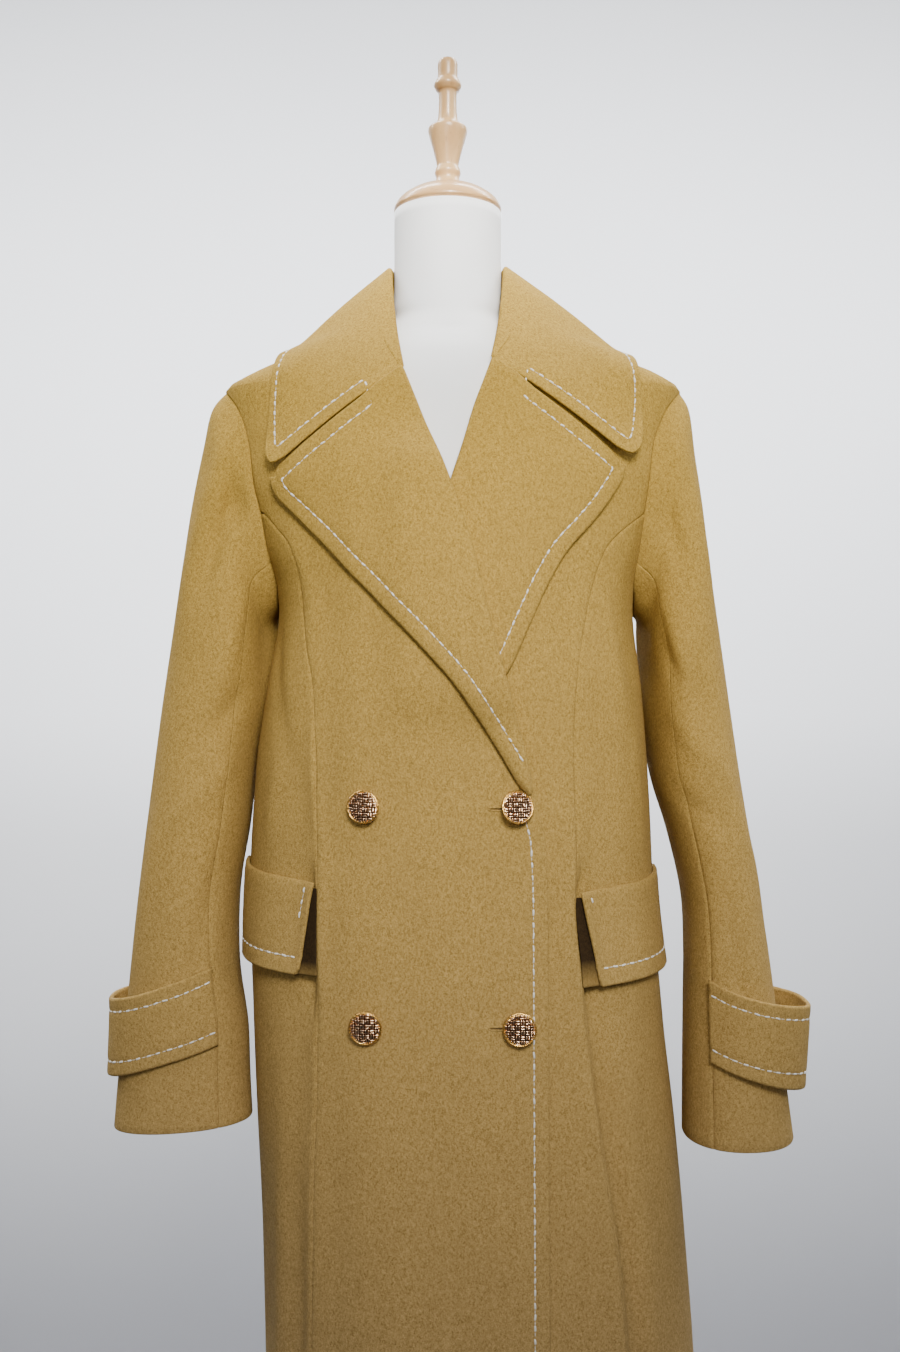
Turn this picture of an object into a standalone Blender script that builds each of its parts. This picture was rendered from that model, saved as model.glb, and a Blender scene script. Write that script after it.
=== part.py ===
# Long double-breasted wool coat on a limbless dress form with a turned wooden stand.
# Metres, +Z up. The coat faces -Y, so +X is the wearer's left. The base stands on z = 0.
import math

import bmesh
import bpy
import numpy as np

# ---------------------------------------------------------------- driving sizes
WALL = 0.003            # double-faced coat cloth
SEAM_GAP = 0.0003       # between two pieces that are sewn together
SLEEVE_SEAM_INSET = 0.0009  # where the sleeve walls turn tightly under the arm
LIE_GAP = 0.0005        # between a piece and the panel that it lies on
HEM_Z = 0.25
NECK_POINT_Z = 1.374    # where the shoulder seam meets the neckline
SHOULDER_Z = 1.322      # top of the armhole
ARMPIT_Z = 1.135        # bottom of the armhole
ARMHOLE_TURNS = (0, 15, 30, 45, 60, 75, 88, 100, 112, 126, 140, 154, 167, 180)  # degrees from its top
PRINCESS_TURN = 7       # the princess seam runs into the armhole at this turn
SLEEVE_FRONT_TURN = 9   # and the sleeve's two seams start at these
SLEEVE_BACK_TURN = 7
ARMHOLE_FRONT = 0.052   # how far the armhole reaches forward of the side
ARMHOLE_BACK = 0.060
ARMHOLE_SQUARENESS = 0.45   # of its oval, 0.5 being an ellipse
NAPE_RISE = 0.014       # the back neckline is this much higher at its middle
OVERLAP_LIFT = 0.0038   # the outer front lies this far over the under front
LAPEL_LIFT = 0.0070     # and this much more where the under lapel passes beneath
LAPEL_THICK = 0.0042
LAPEL_PUFF = 0.0018     # the lapel stands this far off its front in the middle
LAPEL_START = 0.0009    # from the roll line to the lapel's first row
COLLAR_THICK = 0.0024
STRAP_THICK = 0.0040
FLAP_THICK = 0.0034
BUTTON_RADIUS = 0.0125

# Coat surface by height: half width, depth forward and back of the side line,
# squareness of the ring, and the sideways hang.
LEVELS = (
    # z, half_width, front, back, power, shift
    (0.250, 0.1825, 0.1550, 0.1500, 2.60, 0.0325),
    (0.499, 0.1820, 0.1500, 0.1460, 2.60, 0.0270),
    (0.629, 0.1790, 0.1460, 0.1420, 2.60, 0.0210),
    (0.715, 0.1770, 0.1430, 0.1380, 2.60, 0.0150),
    (0.801, 0.1740, 0.1400, 0.1330, 2.60, 0.0085),
    (0.913, 0.1715, 0.1340, 0.1240, 2.50, 0.0030),
    (1.003, 0.1660, 0.1300, 0.1140, 2.45, 0.0035),
    (1.070, 0.1585, 0.1285, 0.1125, 2.40, 0.0055),
    (1.135, 0.1500, 0.1245, 0.1145, 2.35, 0.0070),
    (1.154, 0.1520, 0.1220, 0.1140, 2.35, 0.0065),
    (1.183, 0.1616, 0.1175, 0.1130, 2.35, 0.0050),
    (1.219, 0.1730, 0.1110, 0.1110, 2.30, 0.0040),
    (1.239, 0.1785, 0.1070, 0.1090, 2.30, 0.0030),
    (1.272, 0.1840, 0.0975, 0.1030, 2.25, 0.0030),
    (1.300, 0.1900, 0.0880, 0.0960, 2.20, 0.0040),
    (1.322, 0.1945, 0.0800, 0.0880, 2.15, 0.0045),
    (1.336, 0.1750, 0.0735, 0.0825, 2.10, 0.0055),
    (1.350, 0.1410, 0.0660, 0.0765, 2.05, 0.0030),
    (1.364, 0.1030, 0.0570, 0.0700, 2.00, 0.0000),
    (1.374, 0.0770, 0.0500, 0.0650, 2.00, 0.0000),
)
LEVEL_NAMES = ("z", "half_width", "front", "back", "power", "shift")

# Folds by height: how far the side panels sink beside the princess ridges,
# and how deep the soft flutes of the skirt are.
FOLDS = (
    # z, ridge, flute
    (0.25, 0.0075, 0.0085),
    (0.50, 0.0070, 0.0070),
    (0.70, 0.0070, 0.0045),
    (0.85, 0.0090, 0.0020),
    (0.92, 0.0070, 0.0005),
    (1.02, 0.0015, 0.0000),
    (1.12, 0.0000, 0.0000),
    (1.40, 0.0000, 0.0000),
)

RIDGE_WIDTH = 0.10      # angle over which a side panel sinks beside its ridge
RIDGE_FADE = 0.55       # and over which it comes out again
FLUTE_COUNT = 9         # skirt flutes in a whole turn
FLUTE_TURN = 0.8        # where they start

# Seams and edges on the front, as x by height.
PRINCESS_LEFT = (
    # z, x
    (0.250, 0.1600), (0.400, 0.1500), (0.560, 0.1370), (0.635, 0.1280), (0.693, 0.1195),
    (0.773, 0.1120), (0.823, 0.1045), (0.905, 0.1005), (1.020, 0.0980), (1.075, 0.1010),
    (1.132, 0.1100), (1.164, 0.1190), (1.182, 0.1270), (1.195, 0.1390), (1.2123, 0.1609),
)
PRINCESS_RIGHT = (
    (0.250, -0.1080), (0.560, -0.1050), (0.693, -0.1030), (0.773, -0.1000), (0.919, -0.0997),
    (1.000, -0.1005), (1.066, -0.1050), (1.121, -0.1140), (1.163, -0.1190), (1.185, -0.1270),
    (1.198, -0.1375), (1.2123, -0.1500),
)
EDGE_OUTER = (  # wearer's right front: front edge, then roll line, then neckline
    (0.250, 0.0755), (0.900, 0.0750), (0.949, 0.0735), (0.989, 0.0640), (1.008, 0.0606),
    (1.067, 0.0450), (1.117, 0.0320), (1.181, 0.0170), (1.224, 0.0030), (1.270, -0.0150),
    (1.323, -0.0364), (1.335, -0.0450), (1.350, -0.0530), (1.374, -0.0640),
)
EDGE_UNDER = (  # wearer's left front
    (0.250, -0.0580), (0.989, -0.0580), (1.067, -0.0420), (1.117, -0.0290), (1.181, -0.0130),
    (1.231, 0.0030), (1.259, 0.0120), (1.295, 0.0225), (1.333, 0.0374), (1.350, 0.0460),
    (1.374, 0.0620),
)

# Lapels: height on the roll line, and the outer edge's point for that row.
LAPEL_OUTER = (
    # roll_z, edge_x, edge_z
    (0.9925, 0.0600, 0.9900), (1.0050, 0.0520, 1.0020), (1.0250, 0.0420, 1.0180),
    (1.0550, 0.0240, 1.0540), (1.0900, 0.0060, 1.0750), (1.1250, -0.0130, 1.0970),
    (1.1650, -0.0390, 1.1260), (1.2050, -0.0646, 1.1530), (1.2400, -0.0900, 1.1800),
    (1.2700, -0.1160, 1.2065), (1.3000, -0.1356, 1.2286), (1.3225, -0.1390, 1.2400),
)
LAPEL_UNDER = (
    (1.1300, 0.0340, 1.0700), (1.1500, 0.0450, 1.0850), (1.1750, 0.0600, 1.1180),
    (1.2000, 0.0720, 1.1450), (1.2250, 0.0900, 1.1770), (1.2500, 0.1100, 1.2000),
    (1.2750, 0.1245, 1.2190), (1.3050, 0.1370, 1.2400), (1.3300, 0.1390, 1.2480),
)

# Collar by station, 0 at the middle of the back and 1 at the front end: neck seam,
# centre of the fold, leaf edge, and how far the fold's top turns to face forward.
COLLAR = (
    # station, neck, fold, leaf, forward
    (0.000, (0.0000, 0.0655, 1.3905), (0.0000, 0.0625, 1.4340), (0.0000, 0.1010, 1.3440), 0.0),
    (0.125, (0.0250, 0.0620, 1.3900), (0.0215, 0.0595, 1.4340), (0.0620, 0.0930, 1.3470), 0.0),
    (0.250, (0.0500, 0.0512, 1.3885), (0.0380, 0.0470, 1.4335), (0.1080, 0.0680, 1.3530), 0.0),
    (0.375, (0.0665, 0.0300, 1.3830), (0.0475, 0.0310, 1.4330), (0.1340, 0.0320, 1.3600), 0.0),
    (0.500, (0.0725, 0.0040, 1.3795), (0.0502, 0.0120, 1.4320), (0.1460, -0.0180, 1.3450), 0.0),
    (0.625, (0.0645, -0.0290, 1.3765), (0.0492, -0.0080, 1.4210), (0.1500, -0.0450, 1.3130), 0.2),
    (0.750, (0.0565, -0.0490, 1.3665), (0.0465, -0.0300, 1.3920), (0.1515, -0.0660, 1.2850), 0.5),
    (0.875, (0.0510, -0.0625, 1.3540), (0.0425, -0.0545, 1.3610), (0.1505, -0.0780, 1.2640), 0.8),
    (1.000, (0.0375, -0.0770, 1.3305), (0.0370, -0.0770, 1.3310), (0.1425, -0.0850, 1.2525), 1.0),
)
COLLAR_TILT = 0.004     # the collar's left end is this much higher, its right end lower
COLLAR_REST = 0.0062    # leaf edge's outer face over the panels
FOLD_RADIUS = 0.0027
FOLD_SPAN = (0.2, 0.4)   # the fold's share of the way across the collar
LEAF_BULGE = 0.0025
LEAF_SWING = 0.007      # the leaf lies this much over to the wearer's left
COLLAR_AXIS_Z = 1.26     # the leaf is pushed off the shoulders away from this height
COLLAR_EASE = 0.0030     # how softly it comes to rest on them

# Sleeves by ring: outer and inner point, middle and half of the depth.
SLEEVE_ROUNDNESS = 0.92  # power of its rings, 1 being an ellipse
SLEEVE_LEFT = (
    # outer_x, outer_z, inner_x, inner_z, middle_y, half_depth
    (0.2000, 1.305, 0.1650, 1.122, 0.003, 0.0580),
    (0.2075, 1.265, 0.1680, 1.105, 0.003, 0.0620),
    (0.2152, 1.225, 0.1705, 1.085, 0.002, 0.0640),
    (0.2229, 1.170, 0.1720, 1.055, 0.001, 0.0650),
    (0.2300, 1.120, 0.1745, 1.020, 0.000, 0.0640),
    (0.2386, 1.055, 0.1775, 0.985, -0.004, 0.0620),
    (0.2470, 0.990, 0.1885, 0.945, -0.010, 0.0590),
    (0.2572, 0.920, 0.1985, 0.895, -0.018, 0.0560),
    (0.2650, 0.865, 0.1995, 0.850, -0.025, 0.0540),
    (0.2705, 0.820, 0.1980, 0.810, -0.030, 0.0520),
    (0.2770, 0.765, 0.1965, 0.760, -0.035, 0.0510),
    (0.2850, 0.703, 0.1955, 0.702, -0.038, 0.0500),
)
SLEEVE_RIGHT = (
    (-0.1975, 1.305, -0.1520, 1.124, 0.003, 0.0580),
    (-0.2073, 1.270, -0.1530, 1.110, 0.003, 0.0615),
    (-0.2175, 1.225, -0.1540, 1.090, 0.002, 0.0625),
    (-0.2253, 1.175, -0.1565, 1.060, 0.001, 0.0620),
    (-0.2332, 1.120, -0.1607, 1.030, 0.000, 0.0610),
    (-0.2420, 1.055, -0.1645, 1.000, -0.004, 0.0595),
    (-0.2500, 0.985, -0.1685, 0.955, -0.010, 0.0570),
    (-0.2578, 0.915, -0.1762, 0.900, -0.016, 0.0530),
    (-0.2640, 0.850, -0.1757, 0.840, -0.022, 0.0480),
    (-0.2685, 0.800, -0.1677, 0.790, -0.027, 0.0430),
    (-0.2735, 0.755, -0.1653, 0.750, -0.031, 0.0390),
    (-0.2770, 0.708, -0.1630, 0.716, -0.034, 0.0370),
)

# Cuff straps: middle height at the front seam and at the outer side, and stand-off.
STRAPS = {
    # wearer's side: (seam_z, outer_z, back_z, stand_off, width)
    "left": (0.803, 0.775, 0.785, 0.017, 0.062),
    "right": (0.8125, 0.781, 0.790, 0.0075, 0.060),
}

STRAP_FLARE = 0.7    # its upper edge stands off more than its lower edge

# Pocket flaps: seam height, free edge height and how far the free edge stands off.
FLAPS = {"left": (0.913, 0.842, 0.0065), "right": (0.920, 0.850, 0.0065)}
FLAP_FRONT_SLANT = 0.011    # its front edge leans to the side by this much
FLAP_BACK_RISE = 0.006      # its seam is this much higher at the back

# Buttons: name, x, z, tilt about X and about Z in degrees.
BUTTONS = (
    ("button_1", -0.0630, 0.9805, -4, 5),
    ("button_2", 0.0520, 0.9805, -12, -10),
    ("button_3", -0.0606, 0.8148, 6, -4),
    ("button_4", 0.0530, 0.8148, -3, 8),
)
BUTTON_SHANK = 0.0035   # free length between the cloth and the button's back
BUTTON_PADS = 4         # basket-weave pads across the face

# Dress form.
FORM_BOTTOM_Z = 0.750
FORM_GAPS = (
    # z, gap from the coat's inside
    (0.750, 0.0200), (0.850, 0.0150), (1.000, 0.0090), (1.150, 0.0050), (1.260, 0.0025),
    (1.310, 0.0017), (1.350, 0.0014), (1.374, 0.0045),
)
NECK_AXIS_Y = 0.012
NECK_RINGS = (
    # z, radius
    (1.383, 0.0490), (1.396, 0.0475), (1.412, 0.0466), (1.440, 0.0463), (1.4805, 0.0463),
)
CAP_PROFILE = (
    # radius, z
    (0.0000, 1.4812), (0.0440, 1.4812), (0.0463, 1.4830), (0.0460, 1.4860), (0.0420, 1.4920),
    (0.0320, 1.4990), (0.0200, 1.5040), (0.0000, 1.5055),
)
FINIAL_PROFILE = (
    (0.0000, 1.5060), (0.0125, 1.5060), (0.0105, 1.5095), (0.0100, 1.5126), (0.0113, 1.5168),
    (0.0100, 1.5210), (0.0095, 1.5240), (0.0130, 1.5380), (0.0163, 1.5490), (0.0170, 1.5535),
    (0.0160, 1.5560), (0.0100, 1.5600), (0.0082, 1.5670), (0.0078, 1.5850), (0.0100, 1.5885),
    (0.0120, 1.5926), (0.0100, 1.5970), (0.0086, 1.6000), (0.0086, 1.6110), (0.0070, 1.6150),
    (0.0000, 1.6154),
)
POLE_RADIUS = 0.016
BASE_PROFILE = (
    (0.0000, 0.0000), (0.1920, 0.0000), (0.1950, 0.0030), (0.1950, 0.0170), (0.1900, 0.0230),
    (0.1780, 0.0250), (0.0400, 0.0270), (0.0320, 0.0330), (0.0300, 0.0400), (0.0000, 0.0400),
)

PALETTE = {
    # material: (sRGB colour, roughness, metallic)
    "camel_wool": ((0.68, 0.56, 0.34), 0.92, 0.0),
    "gold_metal": ((0.80, 0.62, 0.34), 0.30, 1.0),
    "form_cover": ((0.90, 0.90, 0.89), 0.85, 0.0),
    "beech_wood": ((0.86, 0.73, 0.52), 0.45, 0.0),
}


# ---------------------------------------------------------------- small helpers
def columns(rows):
    return np.array(rows, float).T


def smooth(at, heights, values):
    """A curve through the table's points that never overshoots them."""
    at = np.asarray(at, float)
    steps = np.diff(values) / np.diff(heights)
    slopes = np.zeros(len(heights))
    slopes[0], slopes[-1] = steps[0], steps[-1]
    before, after = steps[:-1], steps[1:]
    same = before * after > 0
    inner = np.zeros(len(before))
    inner[same] = 2 * before[same] * after[same] / (before[same] + after[same])
    slopes[1:-1] = inner
    i = np.clip(np.searchsorted(heights, at) - 1, 0, len(heights) - 2)
    span = heights[i + 1] - heights[i]
    t = (at - heights[i]) / span
    return (
        values[i] * (1 + 2 * t) * (1 - t) ** 2
        + values[i + 1] * t * t * (3 - 2 * t)
        + slopes[i] * span * t * (1 - t) ** 2
        + slopes[i + 1] * span * t * t * (t - 1)
    )


def on_curve(rows, at):
    heights, values = columns(rows)
    return smooth(at, heights, values)


def ramp(value, start, end):
    t = np.clip((np.asarray(value, float) - start) / (end - start), 0, 1)
    return t * t * (3 - 2 * t)


def signed_power(value, power):
    return np.sign(value) * np.abs(value) ** power


def unit(vectors):
    return vectors / np.linalg.norm(vectors, axis=-1, keepdims=True)


LEVEL = dict(zip(LEVEL_NAMES, columns(LEVELS)))
ARMHOLE_MIDDLE_Z = (SHOULDER_Z + ARMPIT_Z) / 2
ARMHOLE_HALF = (SHOULDER_Z - ARMPIT_Z) / 2
TURNS = np.radians(ARMHOLE_TURNS)
ARMHOLE_HEIGHTS = ARMHOLE_MIDDLE_Z + ARMHOLE_HALF * np.cos(TURNS)
PRINCESS_TOP_Z = ARMHOLE_HEIGHTS[PRINCESS_TURN]
FOLD = dict(zip(("z", "ridge", "flute"), columns(FOLDS)))


def level(name, z):
    return smooth(z, LEVEL["z"], LEVEL[name])


# ---------------------------------------------------------------- coat surface
def front_angle(x, z):
    """Angle round the body of a point at x on the front: 0 at the left side, pi at the right."""
    reach = (x - level("shift", z)) / level("half_width", z)
    across = np.clip(np.abs(reach), 0, 1) ** (level("power", z) / 2)
    return np.arccos(np.sign(reach) * across)


def armhole_angle(z, depth_name, reach):
    """Angle from the side line to the armhole's edge. It is zero above and below the armhole."""
    inside = np.clip(1 - ((np.asarray(z) - ARMHOLE_MIDDLE_Z) / ARMHOLE_HALF) ** 2, 0, 1)
    share = reach * inside ** ARMHOLE_SQUARENESS / level(depth_name, z)
    return np.arcsin(share ** (level("power", z) / 2))


def nape_rise(angle, z):
    """How much higher the back neckline is than the shoulder's neck point."""
    return NAPE_RISE * ramp(z, 1.335, NECK_POINT_Z) * ramp(-np.sin(angle), 0.0, 0.9)


def body(angle, z):
    """Outer face of the coat's panels. The front is at positive angles."""
    power = 2 / level("power", z)
    across, along = np.cos(angle), np.sin(angle)
    depth = np.where(along > 0, level("front", z), level("back", z))
    x = level("half_width", z) * signed_power(across, power)
    y = -depth * signed_power(along, power)
    ridge = smooth(z, FOLD["z"], FOLD["ridge"])
    flute = smooth(z, FOLD["z"], FOLD["flute"])
    to_left = front_angle(on_curve(PRINCESS_LEFT, z), z) - angle
    to_right = angle - front_angle(on_curve(PRINCESS_RIGHT, z), z)
    sink = np.zeros_like(x)
    for beyond in (to_left, to_right):
        beyond = np.clip(beyond, 0, None)
        hollow = 1 - np.exp(-((beyond / RIDGE_WIDTH) ** 2))
        sink = sink + ridge * hollow * np.exp(-beyond / RIDGE_FADE)
    behind = ramp(-along, -0.35, 0.5)
    uneven = 0.8 + 0.2 * np.sin(2 * angle)
    sink = sink + flute * behind * uneven * np.sin(FLUTE_COUNT * angle + FLUTE_TURN)
    keep = 1 - sink / np.hypot(x, y)
    return np.stack([level("shift", z) + x * keep, y * keep, z + nape_rise(angle, z)], axis=-1)


def body_normal(angle, z):
    step_angle, step_z = 1e-3, 2e-4
    round_body = body(angle + step_angle, z) - body(angle - step_angle, z)
    up = body(angle, z + step_z) - body(angle, z - step_z)
    return unit(np.cross(up, round_body))


def body_grid(angles, heights, lift=0.0):
    """Points and normals on the panels, rows up and columns round, raised by lift."""
    heights = np.broadcast_to(heights[:, None], angles.shape)
    normals = body_normal(angles, heights)
    return body(angles, heights) + np.asarray(lift)[..., None] * normals, normals


def front_point(x, z, lift):
    """A point over the front panels, with its normal."""
    angle = front_angle(x, z)
    normal = body_normal(angle, z)
    return body(angle, z) + np.asarray(lift)[..., None] * normal, normal


def outer_front_lift(x, z):
    """How far the wearer's right front lies over the body surface."""
    over_under = OVERLAP_LIFT * ramp(x, -0.096, -0.066) * (1 - ramp(z, 1.235, 1.29))
    over_lapel = ramp(x, -0.060, -0.026) * ramp(z, 1.03, 1.075) * (1 - ramp(z, 1.235, 1.285))
    return over_under + LAPEL_LIFT * over_lapel


def inside_body(point):
    """Below zero within the coat's panels, above zero outside them."""
    x, y, z = point
    at = min(z, NECK_POINT_Z)
    across = abs(x - level("shift", at)) / level("half_width", at)
    along = abs(y) / level("front" if y < 0 else "back", at)
    power = level("power", at)
    return across ** power + along ** power - 1 + max(0.0, z - NECK_POINT_Z) / 0.02


def clear_of_body(point, lift):
    """The point, moved out from the chest's side-to-side axis until it is lift off the panels."""
    axis = np.array([point[0], 0.0, COLLAR_AXIS_Z])
    reach = np.linalg.norm(point - axis)
    ray = (point - axis) / reach
    low, high = 0.0, 0.25
    if inside_body(axis) > 0:
        return point
    for _ in range(22):
        middle = (low + high) / 2
        if inside_body(axis + ray * middle) < 0:
            low = middle
        else:
            high = middle
    spare = reach - low - lift
    return axis + ray * (low + lift + (spare + math.hypot(spare, COLLAR_EASE)) / 2)


# ---------------------------------------------------------------- making objects
def linear(channel):
    return channel / 12.92 if channel <= 0.04045 else ((channel + 0.055) / 1.055) ** 2.4


def make_material(name):
    colour, roughness, metallic = PALETTE[name]
    material = bpy.data.materials.new(name)
    material.use_nodes = True
    shader = material.node_tree.nodes["Principled BSDF"]
    shader.inputs["Base Color"].default_value = (*map(linear, colour), 1.0)
    shader.inputs["Roughness"].default_value = roughness
    shader.inputs["Metallic"].default_value = metallic
    material.diffuse_color = (*map(linear, colour), 1.0)
    return material


def add_object(name, verts, faces, material):
    mesh = bpy.data.meshes.new(name)
    mesh.from_pydata([tuple(map(float, point)) for point in verts], [], faces)
    solid = bmesh.new()
    solid.from_mesh(mesh)
    bmesh.ops.remove_doubles(solid, verts=solid.verts, dist=1e-7)
    bmesh.ops.recalc_face_normals(solid, faces=solid.faces)
    solid.to_mesh(mesh)
    solid.free()
    mesh.materials.append(MATERIALS[material])
    obj = bpy.data.objects.new(name, mesh)
    bpy.context.scene.collection.objects.link(obj)
    return obj


def wall(name, outer, inner, material="camel_wool"):
    """A closed wall between two grids of points, cut along the shorter diagonals, with its rims."""
    rows, cols = outer.shape[:2]
    verts = np.concatenate([outer.reshape(-1, 3), inner.reshape(-1, 3)])
    back = rows * cols

    def at(row, col):
        return row * cols + col

    faces = []
    for row in range(rows - 1):
        for col in range(cols - 1):
            ring = [at(row, col), at(row, col + 1), at(row + 1, col + 1), at(row + 1, col)]
            rising = np.linalg.norm(verts[ring[0]] - verts[ring[2]])
            falling = np.linalg.norm(verts[ring[1]] - verts[ring[3]])
            if falling < rising:
                ring = ring[1:] + ring[:1]
            for half in (ring[:3], [ring[0], ring[2], ring[3]]):
                faces.append(half)
                faces.append([back + i for i in reversed(half)])
    border = [at(0, col) for col in range(cols)]
    border += [at(row, cols - 1) for row in range(1, rows)]
    border += [at(rows - 1, col) for col in range(cols - 2, -1, -1)]
    border += [at(row, 0) for row in range(rows - 2, 0, -1)]
    for here, after in zip(border, border[1:] + border[:1]):
        faces.append([after, here, back + here, back + after])
    return add_object(name, verts, faces, material)


def turned(name, profile, segments, material, centre=(0.0, 0.0)):
    """A solid of revolution about a vertical line, from (radius, z) points on and off its axis."""
    verts, faces = [], []
    starts = []
    for radius, z in profile:
        starts.append(len(verts))
        turns = [0] if radius == 0 else range(segments)
        for turn in turns:
            angle = 2 * math.pi * turn / segments
            x = centre[0] + radius * math.cos(angle)
            verts.append((x, centre[1] + radius * math.sin(angle), z))
    for i in range(len(profile) - 1):
        low, high = starts[i], starts[i + 1]
        for turn in range(segments):
            after = (turn + 1) % segments
            if profile[i][0] == 0:
                faces.append((low, high + after, high + turn))
            elif profile[i + 1][0] == 0:
                faces.append((low + turn, low + after, high))
            else:
                faces.append((low + turn, low + after, high + after, high + turn))
    return add_object(name, verts, faces, material)


# ---------------------------------------------------------------- coat body
def body_heights():
    skirt = np.linspace(HEM_Z, 1.03, 12)
    waist = np.linspace(1.03, ARMPIT_Z, 4)[1:-1]
    top = np.linspace(SHOULDER_Z, NECK_POINT_Z, 7)[1:]
    return np.concatenate([skirt, waist, ARMHOLE_HEIGHTS[::-1], top])


def seam_inset(angle_width):
    """About a seam gap as an angle, for a body about 0.15 m in radius."""
    return np.minimum(1.1 * SEAM_GAP / 0.15, angle_width / 4)


def spaced(start, end, count):
    inset = seam_inset(np.abs(end - start))
    shares = np.linspace(0, 1, count)
    first = (start + inset)[:, None]
    last = (end - inset)[:, None]
    return first + (last - first) * shares


def make_fronts():
    heights = body_heights()
    armhole = armhole_angle(heights, "front", ARMHOLE_FRONT)
    below = heights <= PRINCESS_TOP_Z + 1e-6
    for side, princess, edge in (
        ("left", PRINCESS_LEFT, EDGE_UNDER),
        ("right", PRINCESS_RIGHT, EDGE_OUTER),
    ):
        along_seam = front_angle(on_curve(princess, heights), heights)
        edge_angle = front_angle(on_curve(edge, heights), heights)
        side_angle = armhole if side == "left" else math.pi - armhole
        limit = np.where(below, along_seam, side_angle)
        if side == "left":
            angles = spaced(limit, edge_angle, 8)
            lift = np.zeros_like(angles)
        else:
            angles = spaced(edge_angle, limit, 9)
            x = body(angles, np.broadcast_to(heights[:, None], angles.shape))[..., 0]
            lift = outer_front_lift(x, heights[:, None])
        outer, normals = body_grid(angles, heights, lift)
        wall("front_" + side, outer, outer - WALL * normals)


def make_side_fronts():
    heights = body_heights()
    heights = heights[heights <= PRINCESS_TOP_Z + 1e-6]
    armhole = armhole_angle(heights, "front", ARMHOLE_FRONT)
    left_seam = front_angle(on_curve(PRINCESS_LEFT, heights), heights)
    right_seam = front_angle(on_curve(PRINCESS_RIGHT, heights), heights)
    for side, start, end in (
        ("left", armhole, left_seam),
        ("right", right_seam, math.pi - armhole),
    ):
        outer, normals = body_grid(spaced(start, end, 6), heights)
        wall("side_front_" + side, outer, outer - WALL * normals)


def make_back():
    heights = body_heights()
    armhole = armhole_angle(heights, "back", ARMHOLE_BACK)
    outer, normals = body_grid(spaced(armhole - math.pi, -armhole, 21), heights)
    wall("back", outer, outer - WALL * normals)


def make_lapels():
    shares = np.linspace(0, 1, 7)
    for side, rows, edge in (
        ("left", LAPEL_UNDER, EDGE_UNDER),
        ("right", LAPEL_OUTER, EDGE_OUTER),
    ):
        roll_z, edge_x, edge_z = columns(rows)
        toward = np.sign(edge_x[-1])
        roll_x = on_curve(edge, roll_z) + toward * LAPEL_START
        x = roll_x[:, None] + (edge_x - roll_x)[:, None] * shares
        z = roll_z[:, None] + (edge_z - roll_z)[:, None] * shares
        base = outer_front_lift(x, z) if side == "right" else np.zeros_like(x)
        soft = LAPEL_PUFF * np.sin(math.pi * shares) ** 0.7
        inner, normals = front_point(x, z, base + 3 * LIE_GAP + soft)
        wall("lapel_" + side, inner + LAPEL_THICK * normals, inner)


# ---------------------------------------------------------------- collar
def collar_section(station, side):
    """Neck seam, fold centre and leaf edge at a station, and how far the fold faces forward."""
    stations = np.array([row[0] for row in COLLAR])
    found = []
    for i in range(3):
        table = np.array([row[1 + i] for row in COLLAR])
        point = [smooth(station, stations, table[:, k]) for k in range(3)]
        point[0] *= side
        point[2] += side * COLLAR_TILT * station ** 3
        found.append(np.array(point, float))
    found[2][0] += LEAF_SWING * math.sin(math.pi * station / 1.15)
    forward = smooth(station, stations, np.array([row[4] for row in COLLAR]))
    return found, forward


def collar_point(station, across):
    """Outer face of the collar: across runs up the stand, over the fold and down the leaf."""
    side = 1.0 if station >= 0 else -1.0
    (neck, fold, leaf), forward = collar_section(min(abs(station), 1.0), side)
    top = unit(np.array([0.0, -0.96 * forward, 1 - 0.71 * forward]))
    fall = unit(leaf - fold)
    away = unit(fall - fall.dot(top) * top)
    facing = unit(top - fall.dot(top) * fall)
    arc_start, arc_end = FOLD_SPAN
    stand_top = fold - FOLD_RADIUS * away
    if across <= arc_start:
        t = across / arc_start
        return neck + (stand_top - neck) * t
    if across <= arc_end:
        share = (across - arc_start) / (arc_end - arc_start)
        sweep = math.acos(np.clip(-away.dot(facing), -1, 1)) * share
        return fold + FOLD_RADIUS * (-away * math.cos(sweep) + top * math.sin(sweep))
    t = (across - arc_end) / (1 - arc_end)
    start = fold + FOLD_RADIUS * facing
    point = start + (leaf - start) * t + facing * LEAF_BULGE * math.sin(math.pi * t)
    return clear_of_body(point, COLLAR_REST)


def make_collar():
    stations = np.concatenate([-np.linspace(1, 0, 16), np.linspace(0, 1, 16)[1:]])
    acrosses = np.array([0, 0.1, 0.2, 0.25, 0.3, 0.35, 0.4, 0.5, 0.6, 0.7, 0.8, 0.9, 1.0])
    outer = np.array([[collar_point(s, a) for s in stations] for a in acrosses])
    along = np.gradient(outer, axis=1)
    over = np.gradient(outer, axis=0)
    normals = unit(np.cross(along, over))
    wall("collar", outer, outer - COLLAR_THICK * normals)


# ---------------------------------------------------------------- sleeves
def armhole_ring(side, turns):
    """The armhole's edge and the body's normal there, by angle from the shoulder point."""
    z = ARMHOLE_MIDDLE_Z + ARMHOLE_HALF * np.cos(turns)
    front = armhole_angle(z, "front", ARMHOLE_FRONT)
    back = armhole_angle(z, "back", ARMHOLE_BACK)
    angle = np.where(np.sin(turns) >= 0, front, -back)
    if side == "right":
        angle = math.pi - angle
        angle = np.where(angle > math.pi, angle - 2 * math.pi, angle)
    return body(angle, z), body_normal(angle, z)


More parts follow.
